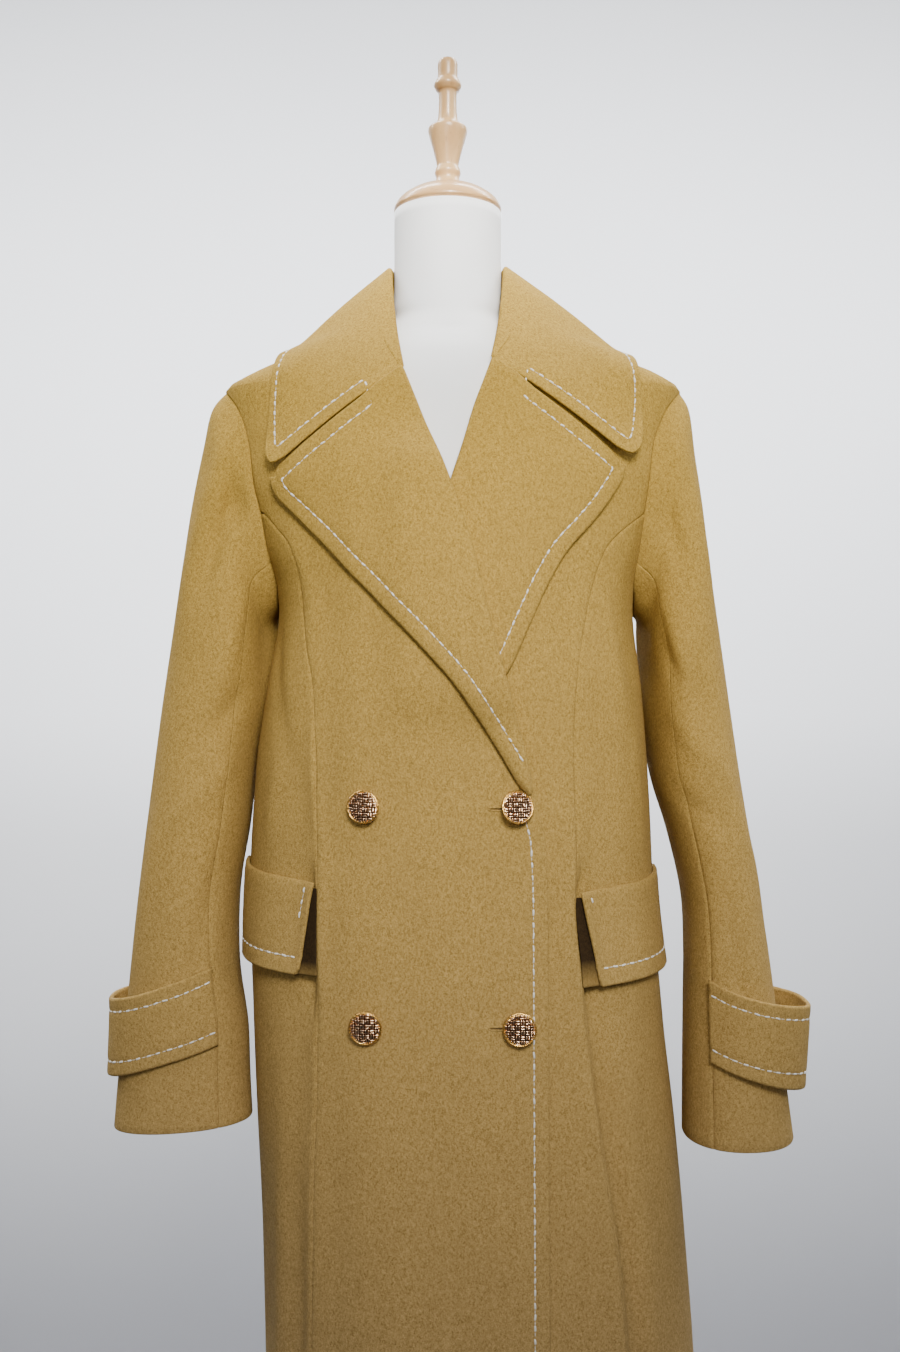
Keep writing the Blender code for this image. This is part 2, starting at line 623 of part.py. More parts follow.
def sleeve_rows(side, turns):
    """Rings of the sleeve from the armhole down to the cuff, and their normals."""
    rows = SLEEVE_LEFT if side == "left" else SLEEVE_RIGHT
    start, body_normals = armhole_ring(side, turns)
    rings = [start]
    swing = signed_power(np.cos(turns), SLEEVE_ROUNDNESS)[:, None]
    reach = signed_power(np.sin(turns), SLEEVE_ROUNDNESS)[:, None]
    for i, (outer_x, outer_z, inner_x, inner_z, middle_y, half_depth) in enumerate(rows):
        outer = np.array([outer_x, middle_y, outer_z])
        inner = np.array([inner_x, middle_y, inner_z])
        ring = (outer + inner) / 2 + (outer - inner) / 2 * swing
        ring = ring + np.array([0.0, -half_depth, 0.0]) * reach
        near = 0.5 * max(0.0, 1 - i / 3)
        moved = start + (ring.mean(axis=0) - start.mean(axis=0))
        rings.append(ring * (1 - near) + moved * near)
    points = np.array(rings)
    down = np.gradient(points, axis=0)
    around = np.roll(points, -1, axis=1) - np.roll(points, 1, axis=1)
    normals = unit(np.cross(around, down)) * (1.0 if side == "left" else -1.0)
    under_arm = ramp(np.abs(turns), math.radians(110), math.radians(170))[:, None]
    normals[0] = unit(body_normals * (1 - under_arm) + normals[0] * under_arm)
    points[0] = points[0] + unit(points[1] - points[0]) * SEAM_GAP
    return points, normals


def make_sleeve(side):
    forward = list(TURNS)
    backward = [-turn for turn in TURNS[1:-1]]
    turns = np.array(forward + backward[::-1])
    points, normals = sleeve_rows(side, turns)
    count = len(turns)
    front, back = SLEEVE_FRONT_TURN, count - SLEEVE_BACK_TURN
    top = [i % count for i in range(back, count + front + 1)]
    under = list(range(front, back + 1))
    for name, picked in (("sleeve_top_", top), ("sleeve_under_", under)):
        outer, normal = points[:, picked].copy(), normals[:, picked]
        for end, beside in ((0, 1), (-1, -2)):
            inward = unit(outer[:, beside] - outer[:, end])
            outer[:, end] += inward * SLEEVE_SEAM_INSET
        wall(name + side, outer, outer - WALL * normal)


def sleeve_at(side, turn, z):
    """A point on the sleeve's outer face at this height, with its normal."""
    sign = 1.0 if side == "left" else -1.0
    table = columns(SLEEVE_LEFT if side == "left" else SLEEVE_RIGHT)[:, ::-1]
    outer_x, outer_z, inner_x, inner_z, middle_y, half_depth = table
    mean_z = (outer_z + inner_z) / 2

    def point(turn_at, z_at):
        swing = signed_power(np.cos(turn_at), SLEEVE_ROUNDNESS)
        reach = signed_power(np.sin(turn_at), SLEEVE_ROUNDNESS)
        out_x, in_x = smooth(z_at, mean_z, outer_x), smooth(z_at, mean_z, inner_x)
        x = (out_x + in_x) / 2 + (out_x - in_x) / 2 * swing
        y = smooth(z_at, mean_z, middle_y) - smooth(z_at, mean_z, half_depth) * reach
        return np.stack([x, y, np.broadcast_to(z_at, np.shape(x))], axis=-1)

    step = 1e-3
    around = point(turn + step, z) - point(turn - step, z)
    up = point(turn, z + step) - point(turn, z - step)
    return point(turn, z), unit(np.cross(up, around)) * sign


def make_strap(side):
    seam_z, outer_z, back_z, stand_off, width = STRAPS[side]
    turns = np.linspace(TURNS[SLEEVE_FRONT_TURN] - 0.03, 0.03 - TURNS[SLEEVE_BACK_TURN], 19)
    shares = np.linspace(0, 1, len(turns))
    middle = smooth(shares, np.array([0.0, 0.55, 1.0]), np.array([seam_z, outer_z, back_z]))
    ends = np.clip(np.minimum(shares, 1 - shares) / 0.42, 0, 1)
    away = 2 * LIE_GAP + stand_off * ramp(ends, 0, 1)
    rows = []
    for across in np.linspace(-0.5, 0.5, 4):
        z = middle + across * width
        points, normals = sleeve_at(side, turns, z)
        lift = away * (1 + STRAP_FLARE * across)
        rows.append((points + lift[:, None] * normals, normals))
    inner = np.array([row[0] for row in rows])
    normals = np.array([row[1] for row in rows])
    wall("cuff_strap_" + side, inner + STRAP_THICK * normals, inner)


# ---------------------------------------------------------------- pockets and buttons
def make_flap(side):
    top_z, free_z, stand_off = FLAPS[side]
    shares = np.linspace(0, 1, 9)
    depths = np.linspace(0, 1, 6)
    princess = PRINCESS_LEFT if side == "left" else PRINCESS_RIGHT
    sign = 1.0 if side == "left" else -1.0
    rows = []
    for depth in depths:
        z = top_z + (free_z - top_z) * depth + FLAP_BACK_RISE * shares * (1 - 0.6 * depth)
        slant = sign * (0.0015 + FLAP_FRONT_SLANT * depth)
        front = front_angle(on_curve(princess, z[0]) + slant, z[0])
        rear = 0.02 if side == "left" else math.pi - 0.02
        angle = front + (rear - front) * shares
        lift = 2 * LIE_GAP + stand_off * depth ** 1.3 * (1 - 0.6 * shares)
        normal = body_normal(angle, z)
        rows.append((body(angle, z) + lift[:, None] * normal, normal))
    inner = np.array([row[0] for row in rows])
    normals = np.array([row[1] for row in rows])
    wall("pocket_flap_" + side, inner + FLAP_THICK * normals, inner)


def button_face_height(x, y):
    """Height of the domed face, with woven pads across it and a plain rim round them."""
    reach = math.hypot(x, y) / BUTTON_RADIUS
    dome = 0.0022 * (1 - reach * reach)
    if reach > 0.82:
        return dome + 0.0004
    pitch = 2 * BUTTON_RADIUS * 0.82 / BUTTON_PADS
    column = math.floor(x / pitch)
    row = math.floor(y / pitch)
    u = x / pitch - column - 0.5
    v = y / pitch - row - 0.5
    across = u if (column + row) % 2 else v
    return dome + 0.0009 * (1 - (2 * across) ** 2)


def make_button(name, x, z, tilt_x, tilt_z):
    """A domed metal button, its shank reaching back to the cloth."""
    seat, normal = front_point(np.array(x), np.array(z), outer_front_lift(x, z) + 0.0003)
    rings = (1.0, 0.94, 0.82, 0.6, 0.3)
    segments = 20
    verts, faces = [], []
    profile = [(0.0022, 0.0), (0.0022, BUTTON_SHANK), (0.0105, BUTTON_SHANK + 0.0002),
               (BUTTON_RADIUS, BUTTON_SHANK + 0.0016)]
    for radius, height in profile:
        for turn in range(segments):
            angle = 2 * math.pi * turn / segments
            verts.append((radius * math.cos(angle), radius * math.sin(angle), height))
    face_base = BUTTON_SHANK + 0.0022
    for share in rings:
        for turn in range(segments):
            angle = 2 * math.pi * turn / segments
            px = share * BUTTON_RADIUS * math.cos(angle)
            py = share * BUTTON_RADIUS * math.sin(angle)
            verts.append((px, py, face_base + button_face_height(px, py)))
    count = len(verts) // segments
    for ring in range(count - 1):
        for turn in range(segments):
            after = (turn + 1) % segments
            here = ring * segments
            above = here + segments
            faces.append((here + turn, here + after, above + after, above + turn))
    faces.append(tuple(reversed(range(segments))))
    last = (count - 1) * segments
    verts.append((0, 0, face_base + button_face_height(1e-5, 1e-5)))
    for turn in range(segments):
        faces.append((last + turn, last + (turn + 1) % segments, len(verts) - 1))
    toward = unit(normal)
    right = unit(np.cross([0.0, 0.0, 1.0], toward))
    up = np.cross(toward, right)
    lean_x, lean_z = math.radians(tilt_x), math.radians(tilt_z)
    placed = []
    for px, py, height in verts:
        bend = min(max(height / BUTTON_SHANK, 0), 1)
        slide = height + bend * (py * math.sin(lean_x) + px * math.sin(lean_z))
        placed.append(seat + right * px + up * py + toward * slide)
    add_object(name, placed, faces, "gold_metal")


# ---------------------------------------------------------------- dress form and stand
def make_form():
    segments = 32
    angles = np.linspace(-math.pi, math.pi, segments, endpoint=False)
    heights = np.concatenate([
        np.linspace(FORM_BOTTOM_Z, 1.13, 10),
        np.linspace(1.13, 1.30, 7)[1:],
        np.linspace(1.30, NECK_POINT_Z, 8)[1:],
    ])
    rings = []
    for z in heights:
        at = np.full(segments, z)
        gap = on_curve(FORM_GAPS, z) + WALL
        points = body(angles, at) - gap * body_normal(angles, at)
        points[:, 2] -= nape_rise(angles, z)
        rings.append(points)
    for z, radius in NECK_RINGS:
        x = radius * np.cos(angles)
        y = NECK_AXIS_Y - radius * np.sin(angles)
        rings.append(np.stack([x, y, np.full(segments, z)], axis=-1))
    bottom = rings[0].copy()
    centre = bottom.mean(axis=0)
    hem = centre + (bottom - centre) * 0.93
    hem[:, 2] = FORM_BOTTOM_Z - 0.012
    rings.insert(0, hem)
    verts = np.concatenate(rings)
    faces = []
    for ring in range(len(rings) - 1):
        for turn in range(segments):
            after = (turn + 1) % segments
            here = ring * segments
            above = here + segments
            faces.append((here + turn, here + after, above + after, above + turn))
    faces.append(tuple(reversed(range(segments))))
    faces.append(tuple(range(len(verts) - segments, len(verts))))
    add_object("form_torso", verts, faces, "form_cover")


def make_stand():
    neck = (0.0, NECK_AXIS_Y)
    turned("neck_cap", CAP_PROFILE, 24, "beech_wood", neck)
    turned("finial", FINIAL_PROFILE, 16, "beech_wood", neck)
    low = BASE_PROFILE[-1][1] + 0.0003
    high = FORM_BOTTOM_Z - 0.012 - 0.0003
    pole = ((0.0, low), (POLE_RADIUS, low), (POLE_RADIUS, high), (0.0, high))
    turned("pole", pole, 24, "beech_wood")
    turned("base", BASE_PROFILE, 36, "beech_wood")


for old in list(bpy.data.objects):
    bpy.data.objects.remove(old, do_unlink=True)
MATERIALS = {name: make_material(name) for name in PALETTE}
make_fronts()
make_side_fronts()
make_back()
make_lapels()
make_collar()
for wearer_side in ("left", "right"):
    make_sleeve(wearer_side)
    make_strap(wearer_side)
    make_flap(wearer_side)
for button in BUTTONS:
    make_button(*button)
make_form()
make_stand()
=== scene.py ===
import math

import bmesh
import bpy
import numpy as np
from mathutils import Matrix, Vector


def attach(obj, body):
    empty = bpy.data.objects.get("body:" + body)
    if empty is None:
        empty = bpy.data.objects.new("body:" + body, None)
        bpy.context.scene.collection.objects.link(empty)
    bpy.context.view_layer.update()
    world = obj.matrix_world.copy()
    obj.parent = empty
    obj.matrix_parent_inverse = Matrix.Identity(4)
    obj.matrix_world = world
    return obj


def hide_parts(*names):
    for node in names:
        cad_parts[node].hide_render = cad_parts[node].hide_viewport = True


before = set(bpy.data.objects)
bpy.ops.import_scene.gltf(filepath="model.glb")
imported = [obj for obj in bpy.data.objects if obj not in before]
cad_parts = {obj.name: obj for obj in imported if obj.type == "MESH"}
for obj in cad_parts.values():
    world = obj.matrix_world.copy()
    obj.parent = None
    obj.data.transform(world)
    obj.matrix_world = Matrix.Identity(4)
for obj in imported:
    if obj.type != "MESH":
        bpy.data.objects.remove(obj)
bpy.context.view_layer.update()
print("frame loaded")

# the coat's surface, as the frame has it
coat = {
    "wall": 0.003, "seamGap": 0.0003, "hemZ": 0.25, "neckPointZ": 1.374, "shoulderZ": 1.322,
    "armpitZ": 1.135, "armholeFront": 0.052, "armholeBack": 0.060, "armholeSquareness": 0.45,
    "napeRise": 0.014, "overlapLift": 0.0038, "lapelLift": 0.0070, "lieGap": 0.0005,
    "ridgeWidth": 0.10, "ridgeFade": 0.55, "fluteCount": 9, "fluteTurn": 0.8,
    "rowStep": 0.007, "turnStep": 2,        # how fine the sheets are
    "seamDip": 0.0007, "seamWidth": 0.0024,  # the pressed line beside a seam
    "grooveWidth": 0.0022,                  # the pressed line under a row of stitches
}
levels = (  # z, half width, front, back, power, shift
    (0.250, 0.1825, 0.1550, 0.1500, 2.60, 0.0325),
    (0.499, 0.1820, 0.1500, 0.1460, 2.60, 0.0270),
    (0.629, 0.1790, 0.1460, 0.1420, 2.60, 0.0210),
    (0.715, 0.1770, 0.1430, 0.1380, 2.60, 0.0150),
    (0.801, 0.1740, 0.1400, 0.1330, 2.60, 0.0085),
    (0.913, 0.1715, 0.1340, 0.1240, 2.50, 0.0030),
    (1.003, 0.1660, 0.1300, 0.1140, 2.45, 0.0035),
    (1.070, 0.1585, 0.1285, 0.1125, 2.40, 0.0055),
    (1.135, 0.1500, 0.1245, 0.1145, 2.35, 0.0070),
    (1.154, 0.1520, 0.1220, 0.1140, 2.35, 0.0065),
    (1.183, 0.1616, 0.1175, 0.1130, 2.35, 0.0050),
    (1.219, 0.1730, 0.1110, 0.1110, 2.30, 0.0040),
    (1.239, 0.1785, 0.1070, 0.1090, 2.30, 0.0030),
    (1.272, 0.1840, 0.0975, 0.1030, 2.25, 0.0030),
    (1.300, 0.1900, 0.0880, 0.0960, 2.20, 0.0040),
    (1.322, 0.1945, 0.0800, 0.0880, 2.15, 0.0045),
    (1.336, 0.1750, 0.0735, 0.0825, 2.10, 0.0055),
    (1.350, 0.1410, 0.0660, 0.0765, 2.05, 0.0030),
    (1.364, 0.1030, 0.0570, 0.0700, 2.00, 0.0000),
    (1.374, 0.0770, 0.0500, 0.0650, 2.00, 0.0000),
)
foldDepths = (  # z, ridge, flute
    (0.25, 0.0075, 0.0085), (0.50, 0.0070, 0.0070), (0.70, 0.0070, 0.0045),
    (0.85, 0.0090, 0.0020), (0.92, 0.0070, 0.0005), (1.02, 0.0015, 0.0000),
    (1.12, 0.0000, 0.0000), (1.40, 0.0000, 0.0000),
)
princessLine = {  # x by height
    "left": (
        (0.250, 0.1600), (0.400, 0.1500), (0.560, 0.1370), (0.635, 0.1280), (0.693, 0.1195),
        (0.773, 0.1120), (0.823, 0.1045), (0.905, 0.1005), (1.020, 0.0980), (1.075, 0.1010),
        (1.132, 0.1100), (1.164, 0.1190), (1.182, 0.1270), (1.195, 0.1390), (1.2123, 0.1609),
    ),
    "right": (
        (0.250, -0.1080), (0.560, -0.1050), (0.693, -0.1030), (0.773, -0.1000),
        (0.919, -0.0997), (1.000, -0.1005), (1.066, -0.1050), (1.121, -0.1140),
        (1.163, -0.1190), (1.185, -0.1270), (1.198, -0.1375), (1.2123, -0.1500),
    ),
}
frontEdge = {  # front edge, roll line and neckline, x by height
    "right": (
        (0.250, 0.0755), (0.900, 0.0750), (0.949, 0.0735), (0.989, 0.0640), (1.008, 0.0606),
        (1.067, 0.0450), (1.117, 0.0320), (1.181, 0.0170), (1.224, 0.0030), (1.270, -0.0150),
        (1.323, -0.0364), (1.335, -0.0450), (1.350, -0.0530), (1.374, -0.0640),
    ),
    "left": (
        (0.250, -0.0580), (0.989, -0.0580), (1.067, -0.0420), (1.117, -0.0290),
        (1.181, -0.0130), (1.231, 0.0030), (1.259, 0.0120), (1.295, 0.0225),
        (1.333, 0.0374), (1.350, 0.0460), (1.374, 0.0620),
    ),
}
# soft troughs (below zero) and ridges in the panels: side, x and z of both ends, width, height
panelFolds = (
    ("front", -0.126, 1.205, -0.113, 1.075, 0.010, 0.0022),
    ("front", -0.138, 1.130, -0.122, 0.985, 0.011, -0.0026),
    ("front", -0.103, 1.060, -0.0995, 0.935, 0.006, 0.0022),
    ("front", -0.132, 1.010, -0.150, 0.945, 0.010, 0.0018),
    ("front", -0.040, 1.065, -0.098, 0.985, 0.014, 0.0015),
    ("front", -0.020, 1.000, -0.090, 0.925, 0.016, -0.0014),
    ("front", -0.075, 0.780, -0.088, 0.500, 0.016, -0.0022),
    ("front", -0.025, 0.930, -0.018, 0.560, 0.020, -0.0018),
    ("front", 0.020, 0.900, 0.034, 0.470, 0.018, 0.0016),
    ("front", 0.088, 0.960, 0.096, 0.640, 0.010, -0.0020),
    ("front", 0.0950, 0.980, 0.1000, 0.800, 0.0075, 0.0035),
    ("front", -0.0945, 0.960, -0.0950, 0.800, 0.0070, 0.0025),
    ("front", 0.1000, 0.850, 0.1320, 0.545, 0.0100, 0.0050),     # the ridge down the left seam
    ("front", 0.1270, 0.620, 0.1560, 0.240, 0.0110, 0.0060),
    ("front", 0.1150, 0.840, 0.1520, 0.545, 0.0105, -0.0120),
    ("front", 0.1440, 0.620, 0.1730, 0.240, 0.0120, -0.0120),
    ("front", 0.092, 0.720, 0.112, 0.330, 0.013, -0.0026),
    ("front", 0.094, 1.150, 0.084, 1.010, 0.012, -0.0018),
    ("front", 0.128, 1.160, 0.142, 1.030, 0.010, 0.0024),
    ("front", 0.118, 1.080, 0.130, 0.960, 0.010, -0.0022),
    ("front", 0.150, 1.060, 0.158, 0.930, 0.009, 0.0020),
    ("front", 0.140, 0.790, 0.168, 0.300, 0.014, 0.0030),
    ("front", -0.132, 0.780, -0.140, 0.300, 0.013, 0.0030),
    ("front", -0.118, 0.700, -0.121, 0.280, 0.010, -0.0024),
    ("back", -0.120, 1.230, -0.095, 1.080, 0.014, 0.0024),
    ("back", 0.125, 1.225, 0.098, 1.070, 0.013, 0.0026),
    ("back", -0.060, 1.130, -0.040, 0.960, 0.016, -0.0020),
    ("back", 0.052, 1.120, 0.064, 0.930, 0.015, -0.0022),
    ("back", 0.010, 1.300, 0.004, 1.180, 0.018, -0.0016),
    ("back", -0.128, 0.990, -0.060, 1.020, 0.012, 0.0018),
    ("back", 0.130, 0.985, 0.070, 1.012, 0.012, 0.0016),
    ("back", -0.098, 0.820, -0.110, 0.320, 0.018, 0.0030),
    ("back", 0.088, 0.800, 0.118, 0.330, 0.017, 0.0026),
    ("back", -0.010, 0.860, 0.012, 0.300, 0.020, -0.0026),
)
flapHollows = (      # beside the front edges of the flaps, which stand clear of them
    ("front", 0.1065, 0.935, 0.1150, 0.800, 0.0062, -0.0125),
    ("front", -0.1065, 0.930, -0.1085, 0.815, 0.0058, -0.0125),
)
foldMetric = 0.150   # metres to one radian round the body


def columns(rows):
    return np.array(rows, float).T


def smooth(at, heights, values):
    # a curve through the table's points that never overshoots them
    at = np.asarray(at, float)
    steps = np.diff(values) / np.diff(heights)
    slopes = np.zeros(len(heights))
    slopes[0], slopes[-1] = steps[0], steps[-1]
    before, after = steps[:-1], steps[1:]
    same = before * after > 0
    inner = np.zeros(len(before))
    inner[same] = 2 * before[same] * after[same] / (before[same] + after[same])
    slopes[1:-1] = inner
    i = np.clip(np.searchsorted(heights, at) - 1, 0, len(heights) - 2)
    span = heights[i + 1] - heights[i]
    t = (at - heights[i]) / span
    return (values[i] * (1 + 2 * t) * (1 - t) ** 2 + values[i + 1] * t * t * (3 - 2 * t)
            + slopes[i] * span * t * (1 - t) ** 2 + slopes[i + 1] * span * t * t * (t - 1))


def onCurve(rows, at):
    heights, values = columns(rows)
    return smooth(at, heights, values)


def ramp(value, start, end):
    t = np.clip((np.asarray(value, float) - start) / (end - start), 0, 1)
    return t * t * (3 - 2 * t)


def signedPower(value, power):
    return np.sign(value) * np.abs(value) ** power


def unit(vectors):
    return vectors / np.linalg.norm(vectors, axis=-1, keepdims=True)


def dot(first, second):
    return np.sum(first * second, axis=-1, keepdims=True)


levelTable = dict(zip(("z", "halfWidth", "front", "back", "power", "shift"), columns(levels)))
foldTable = dict(zip(("z", "ridge", "flute"), columns(foldDepths)))
armholeMiddle = (coat["shoulderZ"] + coat["armpitZ"]) / 2
armholeHalf = (coat["shoulderZ"] - coat["armpitZ"]) / 2
princessTurn, sleeveFrontTurn, sleeveBackTurn = math.radians(100), math.radians(126), math.radians(100)
princessTop = armholeMiddle + armholeHalf * math.cos(princessTurn)


def level(name, z):
    return smooth(z, levelTable["z"], levelTable[name])


def frontAngle(x, z):
    # angle round the body of a point at x on the front: 0 at the left side, pi at the right
    reach = (x - level("shift", z)) / level("halfWidth", z)
    across = np.clip(np.abs(reach), 0, 1) ** (level("power", z) / 2)
    return np.arccos(np.sign(reach) * across)


def armholeAngle(z, depthName, reach):
    inside = np.clip(1 - ((np.asarray(z) - armholeMiddle) / armholeHalf) ** 2, 0, 1)
    share = reach * inside ** coat["armholeSquareness"] / level(depthName, z)
    return np.arcsin(share ** (level("power", z) / 2))


def napeRise(angle, z):
    return coat["napeRise"] * ramp(z, 1.335, coat["neckPointZ"]) * ramp(-np.sin(angle), 0.0, 0.9)


def foldEnds(folds):
    found = []
    for side, x0, z0, x1, z1, width, height in folds:
        sign = 1 if side == "front" else -1
        first = (sign * float(frontAngle(x0, z0)) * foldMetric, z0)
        last = (sign * float(frontAngle(x1, z1)) * foldMetric, z1)
        found.append((first, last, width, height))
    return found


def foldField(across, z, ends):
    # height of the soft folds at a place, from their lines
    total = np.zeros(np.broadcast(across, z).shape)
    for (a0, z0), (a1, z1), width, height in ends:
        length = math.hypot(a1 - a0, z1 - z0)
        da, dz = (a1 - a0) / length, (z1 - z0) / length
        along = ((across - a0) * da + (z - z0) * dz) / length
        aside = (across - a0) * dz - (z - z0) * da
        aside = aside + 0.25 * width * np.sin(5 * along + 40 * width)
        fade = ramp(along, -0.12, 0.35) * (1 - ramp(along, 0.6, 1.12))
        total = total + height * fade * np.exp(-((aside / width) ** 2))
    return total


flatFolds = foldEnds(panelFolds)
bodyFolds = flatFolds + foldEnds(flapHollows)


def body(angle, z, ends=bodyFolds):
    # outer face of the coat's panels; the front is at positive angles
    power = 2 / level("power", z)
    across, along = np.cos(angle), np.sin(angle)
    depth = np.where(along > 0, level("front", z), level("back", z))
    x = level("halfWidth", z) * signedPower(across, power)
    y = -depth * signedPower(along, power)
    ridge = smooth(z, foldTable["z"], foldTable["ridge"])
    flute = smooth(z, foldTable["z"], foldTable["flute"])
    toLeft = frontAngle(onCurve(princessLine["left"], z), z) - angle
    toRight = angle - frontAngle(onCurve(princessLine["right"], z), z)
    sink = np.zeros_like(x)
    for beyond in (toLeft, toRight):
        beyond = np.clip(beyond, 0, None)
        hollow = 1 - np.exp(-((beyond / coat["ridgeWidth"]) ** 2))
        sink = sink + ridge * hollow * np.exp(-beyond / coat["ridgeFade"])
    behind = ramp(-along, -0.35, 0.5)
    uneven = 0.8 + 0.2 * np.sin(2 * angle)
    sink = sink + flute * behind * uneven * np.sin(coat["fluteCount"] * angle + coat["fluteTurn"])
    sink = sink - foldField(foldMetric * angle, z, ends)
    keep = 1 - sink / np.hypot(x, y)
    return np.stack([level("shift", z) + x * keep, y * keep, z + napeRise(angle, z)], axis=-1)


def bodyNormal(angle, z, ends=bodyFolds):
    stepAngle, stepZ = 1e-3, 2e-4
    around = body(angle + stepAngle, z, ends) - body(angle - stepAngle, z, ends)
    up = body(angle, z + stepZ, ends) - body(angle, z - stepZ, ends)
    return unit(np.cross(up, around))


def frontPoint(x, z, lift):
    angle = frontAngle(x, z)
    normal = bodyNormal(angle, z)
    return body(angle, z) + np.asarray(lift)[..., None] * normal, normal


def outerFrontLift(x, z):
    # how far the wearer's right front lies over the body surface
    overUnder = coat["overlapLift"] * ramp(x, -0.096, -0.066) * (1 - ramp(z, 1.235, 1.29))
    overLapel = ramp(x, -0.060, -0.026) * ramp(z, 1.03, 1.075) * (1 - ramp(z, 1.235, 1.285))
    return overUnder + coat["lapelLift"] * overLapel


# materials
def link(tree, start, end):
    tree.links.new(start, end)


def newGroup(name, inputs, outputs):
    group = bpy.data.node_groups.new(name, "ShaderNodeTree")
    for title, kind, value in inputs:
        socket = group.interface.new_socket(name=title, in_out="INPUT", socket_type=kind)
        if value is not None:
            socket.default_value = value
    for title, kind in outputs:
        group.interface.new_socket(name=title, in_out="OUTPUT", socket_type=kind)
    return group, group.nodes.new("NodeGroupInput"), group.nodes.new("NodeGroupOutput")


def noiseNode(tree, vector, scale, detail=2.0, roughness=0.5, distortion=0.0):
    node = tree.nodes.new("ShaderNodeTexNoise")
    node.inputs["Detail"].default_value = detail
    node.inputs["Roughness"].default_value = roughness
    node.inputs["Distortion"].default_value = distortion
    if isinstance(scale, (int, float)):
        node.inputs["Scale"].default_value = scale
    else:
        link(tree, scale, node.inputs["Scale"])
    link(tree, vector, node.inputs["Vector"])
    return node


def mathNode(tree, operation, first, second):
    node = tree.nodes.new("ShaderNodeMath")
    node.operation = operation
    for i, value in enumerate((first, second)):
        if isinstance(value, (int, float)):
            node.inputs[i].default_value = value
        else:
            link(tree, value, node.inputs[i])
    return node.outputs[0]


def mappedVector(tree, vector, scale, turn=(0.0, 0.0, 0.0)):
    node = tree.nodes.new("ShaderNodeMapping")
    node.inputs["Scale"].default_value = scale
    node.inputs["Rotation"].default_value = turn
    link(tree, vector, node.inputs["Vector"])
    return node.outputs[0]


def spread(tree, value, low, high, outLow=0.0, outHigh=1.0):
    node = tree.nodes.new("ShaderNodeMapRange")
    node.inputs["From Min"].default_value = low
    node.inputs["From Max"].default_value = high
    node.inputs["To Min"].default_value = outLow
    node.inputs["To Max"].default_value = outHigh
    link(tree, value, node.inputs["Value"])
    return node.outputs[0]


def mixColour(tree, factor, first, second, blend="MIX"):
    node = tree.nodes.new("ShaderNodeMix")
    node.data_type = "RGBA"
    node.blend_type = blend
    for socket, value in ((node.inputs[0], factor), (node.inputs[6], first), (node.inputs[7], second)):
        if isinstance(value, (int, float)):
            socket.default_value = value
        elif isinstance(value, tuple):
            socket.default_value = (*value, 1.0)
        else:
            link(tree, value, socket)
    return node.outputs[2]


def makeNapGroup():
    # brushed fibres: a mottle for the colour, and the pile's height
    group, start, end = newGroup(
        "brushedNap",
        (("Vector", "NodeSocketVector", None), ("Clump Scale", "NodeSocketFloat", 540.0),
         ("Fibre Scale", "NodeSocketFloat", 1400.0)),
        (("Mottle", "NodeSocketFloat"), ("Patch", "NodeSocketFloat"), ("Height", "NodeSocketFloat")))
    vector = start.outputs["Vector"]
    lying = mappedVector(group, vector, (1.0, 1.0, 0.75))  # the pile is brushed downwards
    clump = noiseNode(group, lying, start.outputs["Clump Scale"], 3.0, 0.62, 0.35)
    fibre = noiseNode(group, lying, start.outputs["Fibre Scale"], 2.0, 0.6, 0.8)
    patch = noiseNode(group, vector, 22.0, 3.0, 0.55, 0.2)
    both = mathNode(group, "ADD", mathNode(group, "MULTIPLY", clump.outputs[0], 0.45),
                    mathNode(group, "MULTIPLY", fibre.outputs[0], 0.55))
    link(group, spread(group, both, 0.36, 0.64), end.inputs["Mottle"])
    link(group, spread(group, patch.outputs[0], 0.3, 0.7), end.inputs["Patch"])
    link(group, both, end.inputs["Height"])
    return group


napGroup = makeNapGroup()


def newMaterial(name):
    material = bpy.data.materials.new(name)
    material.use_nodes = True
    tree = material.node_tree
    place = tree.nodes.new("ShaderNodeTexCoord").outputs["Object"]
    return material, tree, tree.nodes["Principled BSDF"], place


def heightOf(tree, place):
    split = tree.nodes.new("ShaderNodeSeparateXYZ")
    link(tree, place, split.inputs[0])
    return split.outputs[2]


def setInputs(shader, values):
    for title, value in values.items():
        shader.inputs[title].default_value = value


def addBump(tree, shader, height, strength, distance):
    bump = tree.nodes.new("ShaderNodeBump")
    setInputs(bump, {"Strength": strength, "Distance": distance})
    link(tree, height, bump.inputs["Height"])
    link(tree, bump.outputs[0], shader.inputs["Normal"])


woolLook = {
    "light": (0.590, 0.387, 0.100), "dark": (0.225, 0.138, 0.030), "shade": (0.345, 0.222, 0.059),
    # the two tints are painted light: a bluer one for the dimly lit hem and a yellower one for the brightly lit
    # collar
    "paintedDimTint": (0.93, 0.95, 1.55), "paintedLitTint": (0.95, 0.92, 0.62),
    "sheen": 0.03, "sheenRoughness": 0.45, "bump": 0.7, "bumpDistance": 0.0012,
}


